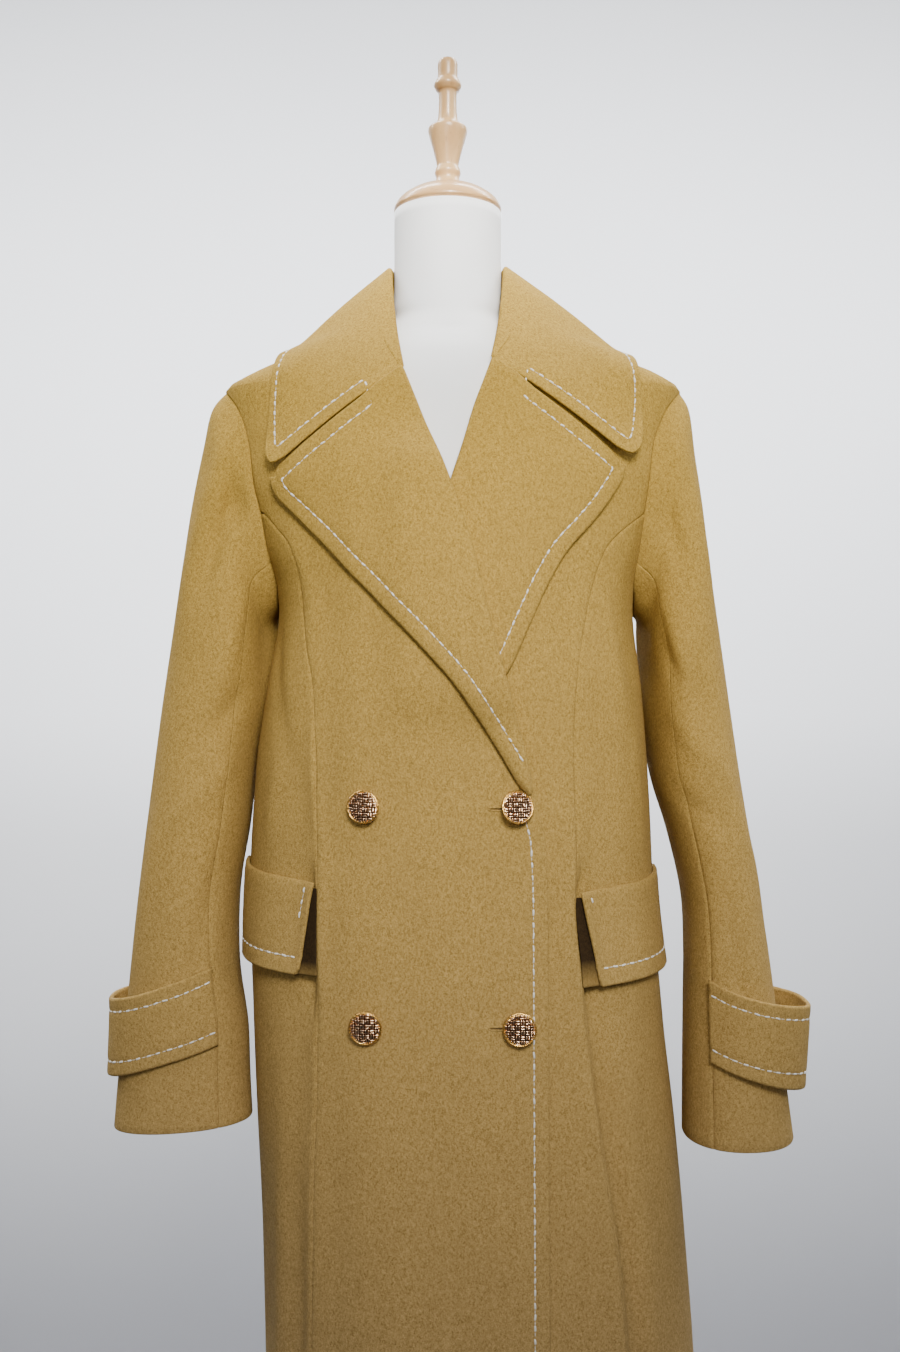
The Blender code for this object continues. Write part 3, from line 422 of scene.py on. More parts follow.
def makeWool(name, look, fade=None):
    material, tree, shader, place = newMaterial(name)
    nap = tree.nodes.new("ShaderNodeGroup")
    nap.node_tree = napGroup
    link(tree, place, nap.inputs["Vector"])
    colour = mixColour(tree, nap.outputs["Mottle"], look["dark"], look["light"])
    patch = spread(tree, nap.outputs["Patch"], 0.0, 1.0, 0.0, 0.22)
    colour = mixColour(tree, patch, colour, look["shade"])
    height = heightOf(tree, place)
    # painted light: the wool's colour is tinted by height, bluer low down where the lamps are dim and yellower at
    # the lit top
    paintedLightTint = mixColour(tree, spread(tree, height, 0.45, 1.30), look["paintedDimTint"], look["paintedLitTint"])
    if fade:    # the pocket's painted shadow fades back to the coat's own colour below a height
        plain = mixColour(tree, nap.outputs["Mottle"], woolLook["dark"], woolLook["shade"])
        colour = mixColour(tree, spread(tree, height, *fade), plain, colour)
    colour = mixColour(tree, 1.0, colour, paintedLightTint, "MULTIPLY")
    link(tree, colour, shader.inputs["Base Color"])
    link(tree, spread(tree, nap.outputs["Mottle"], 0, 1, 0.98, 0.86), shader.inputs["Roughness"])
    setInputs(shader, {"Sheen Weight": look["sheen"], "Sheen Roughness": look["sheenRoughness"],
                       "Sheen Tint": (0.90, 0.66, 0.30, 1.0), "Specular IOR Level": 0.15})
    addBump(tree, shader, nap.outputs["Height"], look["bump"], look["bumpDistance"])
    return material


def makeThread():
    material, tree, shader, place = newMaterial("whiteThread")
    twist = noiseNode(tree, place, 1500.0, 2.0)
    colour = mixColour(tree, spread(tree, twist.outputs[0], 0.3, 0.7), (0.66, 0.63, 0.55), (0.88, 0.87, 0.82))
    link(tree, colour, shader.inputs["Base Color"])
    setInputs(shader, {"Roughness": 0.6, "Sheen Weight": 0.2})
    addBump(tree, shader, twist.outputs[0], 0.4, 0.0003)
    return material


def makeGold(name, light, dark, roughness):
    # polished plating, duller and darker where it is worn and in its small pits
    material, tree, shader, place = newMaterial(name)
    wear = noiseNode(tree, place, 700.0, 4.0, 0.65)
    mask = spread(tree, wear.outputs[0], 0.38, 0.66)
    link(tree, mixColour(tree, mask, dark, light), shader.inputs["Base Color"])
    link(tree, spread(tree, mask, 0, 1, roughness + 0.18, roughness), shader.inputs["Roughness"])
    shader.inputs["Metallic"].default_value = 1.0
    addBump(tree, shader, wear.outputs[0], 0.25, 0.0003)
    return material


def makeJersey():
    # the form's white knitted cover: fine ribs of tiny loops
    material, tree, shader, place = newMaterial("whiteJersey")
    fine = noiseNode(tree, mappedVector(tree, place, (1.0, 1.0, 0.5)), 1600.0, 2.0)
    cloud = noiseNode(tree, place, 18.0, 3.0)
    share = spread(tree, cloud.outputs[0], 0.3, 0.7)
    colour = mixColour(tree, share, (0.93, 0.93, 0.915), (0.97, 0.97, 0.96))
    link(tree, colour, shader.inputs["Base Color"])
    setInputs(shader, {"Roughness": 0.8, "Sheen Weight": 0.1})
    addBump(tree, shader, fine.outputs[0], 0.18, 0.0004)
    return material


def makeWood(name, light, dark, stretch, turn=(0.0, 0.0, 0.0)):
    # clear-varnished beech: drawn-out grain with short dark flecks
    material, tree, shader, place = newMaterial(name)
    drawn = mappedVector(tree, place, stretch, turn)
    grain = noiseNode(tree, drawn, 60.0, 4.0, 0.6, 0.6)
    fleck = noiseNode(tree, drawn, 420.0, 2.0, 0.5)
    colour = mixColour(tree, spread(tree, grain.outputs[0], 0.32, 0.68), dark, light)
    flecks = spread(tree, fleck.outputs[0], 0.62, 0.74, 0.0, 0.35)
    colour = mixColour(tree, flecks, colour, (dark[0] * 0.6, dark[1] * 0.5, dark[2] * 0.4))
    link(tree, colour, shader.inputs["Base Color"])
    link(tree, spread(tree, grain.outputs[0], 0.3, 0.7, 0.42, 0.30), shader.inputs["Roughness"])
    setInputs(shader, {"Coat Weight": 0.35, "Coat Roughness": 0.18})
    addBump(tree, shader, grain.outputs[0], 0.12, 0.0004)
    return material


def makeWall():
    material, tree, shader, place = newMaterial("paleBackdrop")
    cloud = noiseNode(tree, place, 1.6, 2.0)
    colour = mixColour(tree, spread(tree, cloud.outputs[0], 0.3, 0.7), (0.80, 0.81, 0.84), (0.83, 0.84, 0.87))
    # painted shade: the backdrop's colour darkens towards the floor, standing in for the light falling off
    # downward
    paintedFalloff = spread(tree, heightOf(tree, place), -0.15, 1.0)
    colour = mixColour(tree, paintedFalloff, (0.055, 0.055, 0.064), colour)
    link(tree, colour, shader.inputs["Base Color"])
    shader.inputs["Roughness"].default_value = 0.95
    return material


wool = makeWool("camelWool", woolLook)
thread = makeThread()
goldRim = makeGold("goldRim", (0.95, 0.62, 0.18), (0.70, 0.36, 0.07), 0.18)
goldPad = makeGold("rosyGold", (0.95, 0.70, 0.48), (0.58, 0.34, 0.18), 0.10)
# painted shade: near-black gold for the pit under the woven pads, so the gaps between the strands read dark
goldPitShadow = makeGold("pitShadowGold", (0.10, 0.040, 0.012), (0.03, 0.012, 0.006), 0.50)
jersey = makeJersey()
woodUpright = makeWood("beechTurned", (0.78, 0.50, 0.22), (0.60, 0.33, 0.12), (1.0, 1.0, 0.12))
woodFlat = makeWood("beechFlat", (0.72, 0.44, 0.19), (0.52, 0.28, 0.10), (0.15, 1.0, 1.0), (0.2, 0.1, 0.35))
# painted shadow: near-black wool for the pocket mouths, fading to the coat's own colour at their lower ends
pocketShadowLook = dict(woolLook, light=(0.050, 0.028, 0.008), dark=(0.020, 0.011, 0.004),
                  shade=(0.03, 0.018, 0.006), sheen=0.0)
pocketShadowWool = {"left": makeWool("pocketShadowLeft", pocketShadowLook, (0.846, 0.862)),
              "right": makeWool("pocketShadowRight", pocketShadowLook, (0.847, 0.860))}
# painted shadow: dark wool for the buttonhole slits
slitShadowWool = makeWool("slitShadowCloth", dict(woolLook, light=(0.13, 0.075, 0.025), dark=(0.05, 0.03, 0.01), sheen=0.0))
print("materials made")


# making sheets of cloth
def finishPiece(obj, material, nodeNames=()):
    if material is not None:
        obj.data.materials.clear()
        obj.data.materials.append(material)
    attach(obj, "root")
    if nodeNames:
        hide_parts(*nodeNames)


def meshPiece(name, verts, faces):
    mesh = bpy.data.meshes.new(name)
    mesh.from_pydata([tuple(point) for point in np.asarray(verts, float)], [], faces)
    shape = bmesh.new()
    shape.from_mesh(mesh)
    bmesh.ops.remove_doubles(shape, verts=shape.verts, dist=1e-7)
    bmesh.ops.recalc_face_normals(shape, faces=shape.faces)
    shape.to_mesh(mesh)
    shape.free()
    for polygon in mesh.polygons:
        polygon.use_smooth = True
    obj = bpy.data.objects.new(name, mesh)
    bpy.context.scene.collection.objects.link(obj)
    return obj


def gridNormals(points, sign=1.0):
    return unit(np.cross(np.gradient(points, axis=1), np.gradient(points, axis=0))) * sign


def borderOf(rows, cols):
    border = [(0, c) for c in range(cols)] + [(r, cols - 1) for r in range(1, rows)]
    border += [(rows - 1, c) for c in range(cols - 2, -1, -1)] + [(r, 0) for r in range(rows - 2, 0, -1)]
    return border


def clothShell(name, outer, normals, thick, fullness):
    # a closed shell; fullness is how far each rim rounds out: first row, last column, last row, first column
    rows, cols = outer.shape[:2]
    inner = outer - thick * normals
    border = borderOf(rows, cols)
    turns = (0.25, 0.5, 0.75)
    rims = np.zeros((len(turns), len(border), 3))
    for k, (r, c) in enumerate(border):
        sides = []
        if r == 0:
            sides.append((outer[0, c] - outer[1, c], fullness[0]))
        if c == cols - 1:
            sides.append((outer[r, -1] - outer[r, -2], fullness[1]))
        if r == rows - 1:
            sides.append((outer[-1, c] - outer[-2, c], fullness[2]))
        if c == 0:
            sides.append((outer[r, 0] - outer[r, 1], fullness[3]))
        away = sum(side / max(np.linalg.norm(side), 1e-9) for side, full in sides)
        away = away - away.dot(normals[r, c]) * normals[r, c]
        away = away / max(np.linalg.norm(away), 1e-9)
        full = max(full for side, full in sides)
        middle = (outer[r, c] + inner[r, c]) / 2
        for t, turn in enumerate(turns):
            up = math.cos(math.pi * turn)
            out = math.sin(math.pi * turn)
            rims[t, k] = middle + thick / 2 * (up * normals[r, c] + out * full * away)
    back = rows * cols
    verts = np.concatenate([outer.reshape(-1, 3), inner.reshape(-1, 3), rims.reshape(-1, 3)])
    index = np.arange(back).reshape(rows, cols)
    quads = np.stack([index[:-1, :-1], index[:-1, 1:], index[1:, 1:], index[1:, :-1]], axis=-1).reshape(-1, 4)
    faces = quads.tolist() + (back + quads[:, ::-1]).tolist()
    ids = [r * cols + c for r, c in border]
    loops = [ids] + [[2 * back + t * len(border) + k for k in range(len(border))] for t in range(len(turns))]
    loops.append([back + i for i in ids])
    for upper, lower in zip(loops[:-1], loops[1:]):
        for k in range(len(border)):
            after = (k + 1) % len(border)
            faces.append((upper[after], upper[k], lower[k], lower[after]))
    return meshPiece(name, verts, faces)


nearSeam = np.array([0.0, 0.0012, 0.0024, 0.0040, 0.0062, 0.0090])
nearEdge = np.array([0.0, 0.0009, 0.0022, 0.0042, 0.0070, 0.0092, 0.0105, 0.0118, 0.0140, 0.0175])
edgeReach = nearEdge[-1]


def closeShares(widths, first, last, middle):
    # places across each row, closer together beside its seams and edges
    room = np.minimum(1, 0.42 * widths / max(first[-1], last[-1]))[:, None]
    low = first * room / widths[:, None]
    high = 1 - (last * room / widths[:, None])[:, ::-1]
    inside = low[:, -1:] + (high[:, :1] - low[:, -1:]) * np.linspace(0, 1, middle + 2)[1:-1]
    return np.concatenate([low, inside, high], axis=1)


def dipLift(distance):
    return -coat["seamDip"] * np.exp(-((distance / coat["seamWidth"]) ** 2))


def groove(distance, inset):
    return np.exp(-(((distance - inset) / coat["grooveWidth"]) ** 2))


def cornerGroove(toEdge, toTop, inset):
    # two grooves beside two edges, which end where they meet
    return np.maximum(groove(toEdge, inset) * (toTop > inset), groove(toTop, inset) * (toEdge > inset))


def bodyRows(top=True):
    low = np.linspace(coat["hemZ"], coat["armpitZ"], int((coat["armpitZ"] - coat["hemZ"]) / coat["rowStep"]))
    low = np.concatenate([coat["hemZ"] + np.array([0, 0.0012, 0.003]), low[1:-1]])
    turns = np.radians(np.arange(180, -1, -coat["turnStep"]))
    holes = armholeMiddle + armholeHalf * np.cos(turns)
    if not top:
        return np.concatenate([low, holes[holes <= princessTop + 1e-7]])
    above = np.linspace(coat["shoulderZ"], coat["neckPointZ"], 11)[1:]
    return np.concatenate([low, holes, above])


def panel(name, node, heights, start, end, middle, liftFor=None, startNear=nearSeam, endNear=nearSeam,
          dips=(True, True), fullness=(0.9, 0.0, 0.1, 0.0)):
    widths = np.abs(end - start) * foldMetric
    shares = closeShares(widths, startNear, endNear, middle)
    angles = start[:, None] + (end - start)[:, None] * shares
    z = np.broadcast_to(heights[:, None], angles.shape)
    lift = np.zeros_like(angles)
    if liftFor is not None:
        lift = liftFor(body(angles, z)[..., 0], z)
    if dips[0]:
        lift = lift + dipLift(shares * widths[:, None])
    if dips[1]:
        lift = lift + dipLift((1 - shares) * widths[:, None])
    normals = bodyNormal(angles, z)
    outer = body(angles, z) + lift[..., None] * normals
    finishPiece(clothShell(name, outer, normals, coat["wall"], fullness), wool, (node,))


def makeFronts():
    heights = bodyRows()
    armhole = armholeAngle(heights, "front", coat["armholeFront"])
    below = heights <= princessTop + 1e-6
    for side in ("left", "right"):
        seam = frontAngle(onCurve(princessLine[side], heights), heights)
        edge = frontAngle(onCurve(frontEdge[side], heights), heights)
        limit = np.where(below, seam, armhole if side == "left" else math.pi - armhole)
        if side == "left":
            panel("frontLeft", "front_left", heights, limit, edge, 24, dips=(True, False),
                  endNear=nearEdge, fullness=(0.9, 0.9, 0.1, 0.0))
        else:
            panel("frontRight", "front_right", heights, edge, limit, 30, outerFrontLift,
                  startNear=nearEdge, dips=(False, True), fullness=(0.9, 0.0, 0.1, 0.9))


def makeSideFronts():
    heights = bodyRows(False)
    armhole = armholeAngle(heights, "front", coat["armholeFront"])
    leftSeam = frontAngle(onCurve(princessLine["left"], heights), heights)
    rightSeam = frontAngle(onCurve(princessLine["right"], heights), heights)
    panel("sideFrontLeft", "side_front_left", heights, armhole, leftSeam, 16)
    panel("sideFrontRight", "side_front_right", heights, rightSeam, math.pi - armhole, 16)


def makeBack():
    heights = bodyRows()
    armhole = armholeAngle(heights, "back", coat["armholeBack"])
    panel("backPanel", "back", heights, armhole - math.pi, -armhole, 60)


makeFronts()
makeSideFronts()
makeBack()
print("coat panels made")

# lapels
lapel = {
    "thick": 0.0042, "puff": 0.0018, "start": 0.0009, "corner": 0.011, "inset": 0.0112, "gorge": 0.0026,
    "topReach": 0.020, "dent": 0.0007,
    "rightRows": (  # height on the roll line, and the outer edge's point for that row
        (0.9925, 0.0600, 0.9900), (1.0050, 0.0520, 1.0020), (1.0250, 0.0405, 1.0220),
        (1.0550, 0.0238, 1.0490), (1.0900, 0.0060, 1.0750), (1.1250, -0.0130, 1.0970),
        (1.1650, -0.0390, 1.1260), (1.2050, -0.0646, 1.1530), (1.2400, -0.0900, 1.1800),
        (1.2700, -0.1160, 1.2065), (1.3000, -0.1356, 1.2286), (1.3225, -0.1390, 1.2400),
    ),
    "leftRows": (
        (1.1300, 0.0340, 1.0700), (1.1500, 0.0450, 1.0850), (1.1750, 0.0600, 1.1180),
        (1.2000, 0.0720, 1.1450), (1.2250, 0.0900, 1.1770), (1.2500, 0.1100, 1.2000),
        (1.2750, 0.1245, 1.2190), (1.3050, 0.1370, 1.2400), (1.3300, 0.1390, 1.2480),
    ),
}


def roundedCorner(points, corner, towardA, towardB, radius):
    # pulls the points near a sharp corner of a flat shape in onto a quarter circle
    a0, b0 = unit(np.array(towardA) - corner), unit(np.array(towardB) - corner)
    frameIn = np.linalg.inv(np.array([a0, b0]).T)
    local = (points - corner) @ frameIn.T
    u, v = 1 - local[..., 0] / radius, 1 - local[..., 1] / radius
    near = (u > 0) & (v > 0) & (u < 1.02) & (v < 1.02)
    roundU, roundV = u * np.sqrt(1 - np.clip(v, 0, 1) ** 2 / 2), v * np.sqrt(1 - np.clip(u, 0, 1) ** 2 / 2)
    moved = corner + ((1 - roundU) * radius)[..., None] * a0 + ((1 - roundV) * radius)[..., None] * b0
    return np.where(near[..., None], moved, points)


def makeLapels():
    made = {}
    for side, rows in (("left", lapel["leftRows"]), ("right", lapel["rightRows"])):
        rollTable, edgeX, edgeZ = columns(rows)
        length = rollTable[-1] - rollTable[0]
        gaps = np.concatenate([np.linspace(0, length - lapel["topReach"], 46), length - nearEdge[::-1]])
        rollZ = rollTable[0] + gaps
        toward = np.sign(edgeX[-1])
        rollX = onCurve(frontEdge[side], rollZ) + toward * lapel["start"]
        outX, outZ = smooth(rollZ, rollTable, edgeX), smooth(rollZ, rollTable, edgeZ)
        widths = np.hypot(outX - rollX, outZ - rollZ)
        shares = closeShares(widths, nearSeam, nearEdge, 16)
        x = rollX[:, None] + (outX - rollX)[:, None] * shares
        z = rollZ[:, None] + (outZ - rollZ)[:, None] * shares
        flat = np.stack([x, z], axis=-1)
        flat = roundedCorner(flat, flat[-1, -1].copy(), flat[-1, 4], flat[20, -1], lapel["corner"])
        x, z = flat[..., 0], flat[..., 1]
        # sewn to the collar as far as the notch
        nearTop = ramp(gaps, length - lapel["topReach"], length)[:, None]
        z = z + lapel["gorge"] * nearTop * (1 - ramp(np.abs(x), 0.052, 0.070))
        base = outerFrontLift(x, z) if side == "right" else np.zeros_like(x)
        soft = lapel["puff"] * np.sin(math.pi * shares) ** 0.7
        inner, normals = frontPoint(x, z, base + 3 * coat["lieGap"] + soft)
        outer = inner + lapel["thick"] * normals
        pressed = cornerGroove(edgeDistance(outer, 1), edgeDistance(outer, 0), lapel["inset"])
        outer = outer - (lapel["dent"] * pressed)[..., None] * normals
        obj = clothShell("lapel" + side.capitalize(), outer, normals, lapel["thick"], (0.5, 0.9, 0.9, 0.9))
        finishPiece(obj, wool, ("lapel_" + side,))
        made[side] = (outer, normals)
    return made


def edgeDistance(points, axis, fromEnd=True):
    # distance along each line of the grid from its last (or first) point
    steps = np.linalg.norm(np.diff(points, axis=axis), axis=-1)
    if fromEnd:
        steps = np.flip(steps, axis)
    total = np.cumsum(steps, axis=axis)
    zero = np.zeros_like(np.take(total, [0], axis=axis))
    total = np.concatenate([zero, total], axis=axis)
    return np.flip(total, axis) if fromEnd else total


lapels = makeLapels()
print("lapels made")

# collar
collar = {
    "thick": 0.0024, "tilt": 0.004, "rest": 0.0062, "foldRadius": 0.0027, "foldSpan": (0.2, 0.4),
    "bulge": 0.0025, "swing": 0.007, "axisZ": 1.26, "ease": 0.0030, "inset": 0.0105, "corner": 0.009,
    "relax": 60, "settle": 0.35, "dent": 0.0005, "lengthwise": 0.30, "crosswise": 0.175,
    "rows": (  # station, neck seam, centre of the fold, leaf edge, how far the fold faces forward
        (0.000, (0.0000, 0.0655, 1.3905), (0.0000, 0.0625, 1.4340), (0.0000, 0.1010, 1.3440), 0.0),
        (0.125, (0.0250, 0.0620, 1.3900), (0.0215, 0.0595, 1.4340), (0.0620, 0.0930, 1.3470), 0.0),
        (0.250, (0.0500, 0.0512, 1.3885), (0.0380, 0.0470, 1.4335), (0.1080, 0.0680, 1.3530), 0.0),
        (0.375, (0.0665, 0.0300, 1.3830), (0.0475, 0.0310, 1.4330), (0.1340, 0.0320, 1.3600), 0.0),
        (0.500, (0.0725, 0.0040, 1.3795), (0.0502, 0.0120, 1.4320), (0.1460, -0.0180, 1.3450), 0.0),
        (0.625, (0.0645, -0.0290, 1.3765), (0.0492, -0.0080, 1.4210), (0.1500, -0.0450, 1.3130), 0.2),
        (0.750, (0.0553, -0.0455, 1.3655), (0.0465, -0.0300, 1.3920), (0.1515, -0.0660, 1.2850), 0.5),
        (0.875, (0.0505, -0.0590, 1.3530), (0.0425, -0.0545, 1.3610), (0.1505, -0.0780, 1.2640), 0.8),
        (1.000, (0.0375, -0.0770, 1.3305), (0.0370, -0.0770, 1.3310), (0.1425, -0.0850, 1.2525), 1.0),
    ),
}


def insideBody(points):
    at = np.minimum(points[..., 2], coat["neckPointZ"])
    across = np.abs(points[..., 0] - level("shift", at)) / level("halfWidth", at)
    depth = np.where(points[..., 1] < 0, level("front", at), level("back", at))
    along = np.abs(points[..., 1]) / depth
    power = level("power", at)
    return across ** power + along ** power - 1 + np.clip(points[..., 2] - coat["neckPointZ"], 0, None) / 0.02


def clearOfBody(points, lift):
    axis = np.stack([points[..., 0], np.zeros(points.shape[:-1]),
                     np.full(points.shape[:-1], collar["axisZ"])], axis=-1)
    reach = np.linalg.norm(points - axis, axis=-1)
    ray = (points - axis) / reach[..., None]
    low, high = np.zeros_like(reach), np.full_like(reach, 0.25)
    for _ in range(22):
        middle = (low + high) / 2
        within = insideBody(axis + ray * middle[..., None]) < 0
        low, high = np.where(within, middle, low), np.where(within, high, middle)
    spare = reach - low - lift
    moved = axis + ray * (low + lift + (spare + np.hypot(spare, collar["ease"])) / 2)[..., None]
    return np.where((insideBody(axis) > 0)[..., None], points, moved)


def collarPoints(station, across):
    side = np.where(station >= 0, 1.0, -1.0)
    at = np.minimum(np.abs(station), 1.0)
    stations = np.array([row[0] for row in collar["rows"]])
    found = []
    for i in range(3):
        table = np.array([row[1 + i] for row in collar["rows"]])
        point = np.stack([smooth(at, stations, table[:, k]) for k in range(3)], axis=-1)
        point[..., 0] *= side
        point[..., 2] += side * collar["tilt"] * at ** 3
        found.append(point)
    neck, fold, leaf = found
    leaf[..., 0] += collar["swing"] * np.sin(math.pi * at / 1.15)
    forward = smooth(at, stations, np.array([row[4] for row in collar["rows"]]))
    top = unit(np.stack([np.zeros_like(forward), -0.96 * forward, 1 - 0.71 * forward], axis=-1))
    fall = unit(leaf - fold)
    away = unit(fall - dot(fall, top) * top)
    facing = unit(top - dot(fall, top) * fall)
    low, high = collar["foldSpan"]
    radius = collar["foldRadius"]
    share = across[..., None]
    standTop = fold - radius * away
    stand = neck + (standTop - neck) * (share / low)
    sweep = np.arccos(np.clip(-dot(away, facing), -1, 1)) * np.clip((share - low) / (high - low), 0, 1)
    arc = fold + radius * (-away * np.cos(sweep) + top * np.sin(sweep))
    t = np.clip((share - high) / (1 - high), 0, 1)
    start = fold + radius * facing
    flying = start + (leaf - start) * t + facing * collar["bulge"] * np.sin(math.pi * t)
    leafPoint = flying + (clearOfBody(flying, collar["rest"]) - flying) * ramp(t, 0.0, collar["settle"])
    return np.where(share <= low, stand, np.where(share <= high, arc, leafPoint))


def makeCollar():
    ends = nearEdge / 0.36
    half = np.concatenate([np.linspace(0, 1 - ends[-1] - 0.012, 44), 1 - ends[::-1]])
    stations = np.concatenate([-half[::-1], half[1:]])
    acrosses = np.concatenate([np.linspace(0, 0.2, 8)[:-1], np.linspace(0.2, 0.4, 11)[:-1],
                               np.linspace(0.4, 0.86, 22)[:-1], 1 - nearEdge[::-1] / edgeReach * 0.13])
    s, a = np.meshgrid(stations, acrosses)
    lengthwise, crosswise = collar["lengthwise"], collar["crosswise"]   # metres to one station and one across
    flat = np.stack([np.abs(s) * lengthwise, a * crosswise], axis=-1)
    corner = np.array([lengthwise, crosswise])
    flat = roundedCorner(flat, corner, (0, crosswise), (lengthwise, 0), collar["corner"])
    s, a = np.sign(s) * flat[..., 0] / lengthwise, flat[..., 1] / crosswise
    outer = collarPoints(s, a)
    soft = ramp(np.abs(s), 0.66, 0.86) * ramp(a, 0.24, 0.38) * (1 - ramp(a, 0.74, 0.92))
    for _ in range(collar["relax"]):      # the roll runs out flat where it meets the lapel
        beside = (outer[1:-1, :-2] + outer[1:-1, 2:] + outer[:-2, 1:-1] + outer[2:, 1:-1]) / 4
        outer[1:-1, 1:-1] += (beside - outer[1:-1, 1:-1]) * soft[1:-1, 1:-1, None]
        outer[1:-1, 0] += ((outer[:-2, 0] + outer[2:, 0]) / 2 - outer[1:-1, 0]) * soft[1:-1, 0, None] * 0.5
        outer[1:-1, -1] += ((outer[:-2, -1] + outer[2:, -1]) / 2 - outer[1:-1, -1]) * soft[1:-1, -1, None] * 0.5
    normals = gridNormals(outer)
    toFront = np.minimum(edgeDistance(outer, 1), edgeDistance(outer, 1, False))
    pressed = cornerGroove(edgeDistance(outer, 0), toFront, collar["inset"]) * (acrosses[:, None] > 0.42)
    outer = outer - (collar["dent"] * pressed)[..., None] * normals
    obj = clothShell("collarCloth", outer, normals, collar["thick"], (0.2, 0.9, 0.9, 0.9))
    finishPiece(obj, wool, ("collar",))
    return outer, normals


collarGrid = makeCollar()
print("collar made")

# sleeves
sleeve = {
    "roundness": 0.92, "seamInset": 0.000105, "rowParts": 8, "columnStep": 0.0035,
    "metric": 0.056,    # metres to one radian round a sleeve
    "left": (  # outer x, outer z, inner x, inner z, middle y, half depth
        (0.2000, 1.305, 0.1650, 1.122, 0.003, 0.0580), (0.2075, 1.265, 0.1680, 1.105, 0.003, 0.0620),
        (0.2152, 1.225, 0.1705, 1.085, 0.002, 0.0640), (0.2229, 1.170, 0.1720, 1.055, 0.001, 0.0650),
        (0.2300, 1.120, 0.1745, 1.020, 0.000, 0.0640), (0.2386, 1.055, 0.1775, 0.985, -0.004, 0.0620),
        (0.2470, 0.990, 0.1885, 0.945, -0.010, 0.0590), (0.2572, 0.920, 0.1985, 0.895, -0.018, 0.0560),
        (0.2650, 0.865, 0.1995, 0.850, -0.025, 0.0540), (0.2705, 0.820, 0.1980, 0.810, -0.030, 0.0520),
        (0.2770, 0.765, 0.1965, 0.760, -0.035, 0.0510), (0.2850, 0.703, 0.1955, 0.702, -0.038, 0.0500),
    ),
    "right": (
        (-0.1975, 1.305, -0.1520, 1.124, 0.003, 0.0580), (-0.2073, 1.270, -0.1530, 1.110, 0.003, 0.0615),
        (-0.2175, 1.225, -0.1540, 1.090, 0.002, 0.0625), (-0.2253, 1.175, -0.1565, 1.060, 0.001, 0.0620),
        (-0.2332, 1.120, -0.1607, 1.030, 0.000, 0.0610), (-0.2420, 1.055, -0.1645, 1.000, -0.004, 0.0595),
        (-0.2500, 0.985, -0.1685, 0.955, -0.010, 0.0570), (-0.2578, 0.915, -0.1762, 0.900, -0.016, 0.0530),
        (-0.2640, 0.850, -0.1757, 0.840, -0.022, 0.0480), (-0.2685, 0.800, -0.1677, 0.790, -0.027, 0.0430),
        (-0.2735, 0.755, -0.1653, 0.750, -0.031, 0.0390), (-0.2770, 0.708, -0.1630, 0.716, -0.034, 0.0370),
    ),
    # soft folds: turn in degrees and z of both ends, width, height (0 outside, 90 front, 180 inside)
    "leftFolds": (
        (-152, 1.150, -152, 0.985, 0.030, 0.0060),
        (100, 1.290, 84, 1.130, 0.013, -0.0044), (40, 1.290, 52, 1.120, 0.013, 0.0026),
        (120, 1.180, 100, 1.040, 0.012, 0.0030), (135, 1.110, 70, 1.040, 0.011, -0.0026),
        (130, 1.060, 60, 0.985, 0.011, 0.0026), (140, 0.990, 75, 0.950, 0.010, -0.0022),
        (60, 1.000, 30, 0.880, 0.014, 0.0022), (95, 0.930, 88, 0.740, 0.013, -0.0024),
        (-60, 1.270, -85, 1.100, 0.014, 0.0030), (-100, 1.100, -50, 1.020, 0.012, -0.0028),
        (-110, 1.040, -60, 0.960, 0.012, 0.0026), (-80, 0.930, -70, 0.760, 0.014, -0.0022),
    ),
    "rightFolds": (
        (98, 1.310, 70, 1.130, 0.016, -0.0100), (56, 1.290, 50, 1.100, 0.016, 0.0030),
        (-150, 1.215, -150, 1.020, 0.026, 0.0180),
        (118, 1.170, 98, 1.030, 0.012, 0.0028), (140, 1.080, 80, 1.010, 0.011, -0.0026),
        (135, 1.020, 65, 0.950, 0.011, 0.0024), (130, 0.940, 95, 0.790, 0.012, -0.0026),
        (50, 0.980, 40, 0.830, 0.014, 0.0020), (-62, 1.265, -82, 1.090, 0.014, 0.0030),
        (-105, 1.080, -55, 1.000, 0.012, -0.0028), (-112, 1.010, -65, 0.930, 0.012, 0.0024),
    ),
}
cadTurns = np.radians([0, 15, 30, 45, 60, 75, 88, 100, 112, 126, 140, 154, 167, 180])
cadTurns = np.concatenate([cadTurns, -cadTurns[1:-1][::-1]])


def armholeRing(side, turns):
    z = armholeMiddle + armholeHalf * np.cos(turns)
    front = armholeAngle(z, "front", coat["armholeFront"])
    back = armholeAngle(z, "back", coat["armholeBack"])
    angle = np.where(np.sin(turns) >= 0, front, -back)
    if side == "right":
        angle = math.pi - angle
        angle = np.where(angle > math.pi, angle - 2 * math.pi, angle)
    return body(angle, z), bodyNormal(angle, z)


def tableRings(side, turns):
    start = armholeRing(side, turns)[0]
    startMean = armholeRing(side, cadTurns)[0].mean(axis=0)
    rings = [start]
    for i, row in enumerate(sleeve[side]):
        outerX, outerZ, innerX, innerZ, middleY, halfDepth = row

        def ringAt(at):
            swing = signedPower(np.cos(at), sleeve["roundness"])[:, None]
            reach = signedPower(np.sin(at), sleeve["roundness"])[:, None]
            outer, inner = np.array([outerX, middleY, outerZ]), np.array([innerX, middleY, innerZ])
            return (outer + inner) / 2 + (outer - inner) / 2 * swing + np.array([0.0, -halfDepth, 0.0]) * reach

        near = 0.5 * max(0.0, 1 - i / 3)
        moved = start + (ringAt(cadTurns).mean(axis=0) - startMean)
        rings.append(ringAt(turns) * (1 - near) + moved * near)
    return np.array(rings)


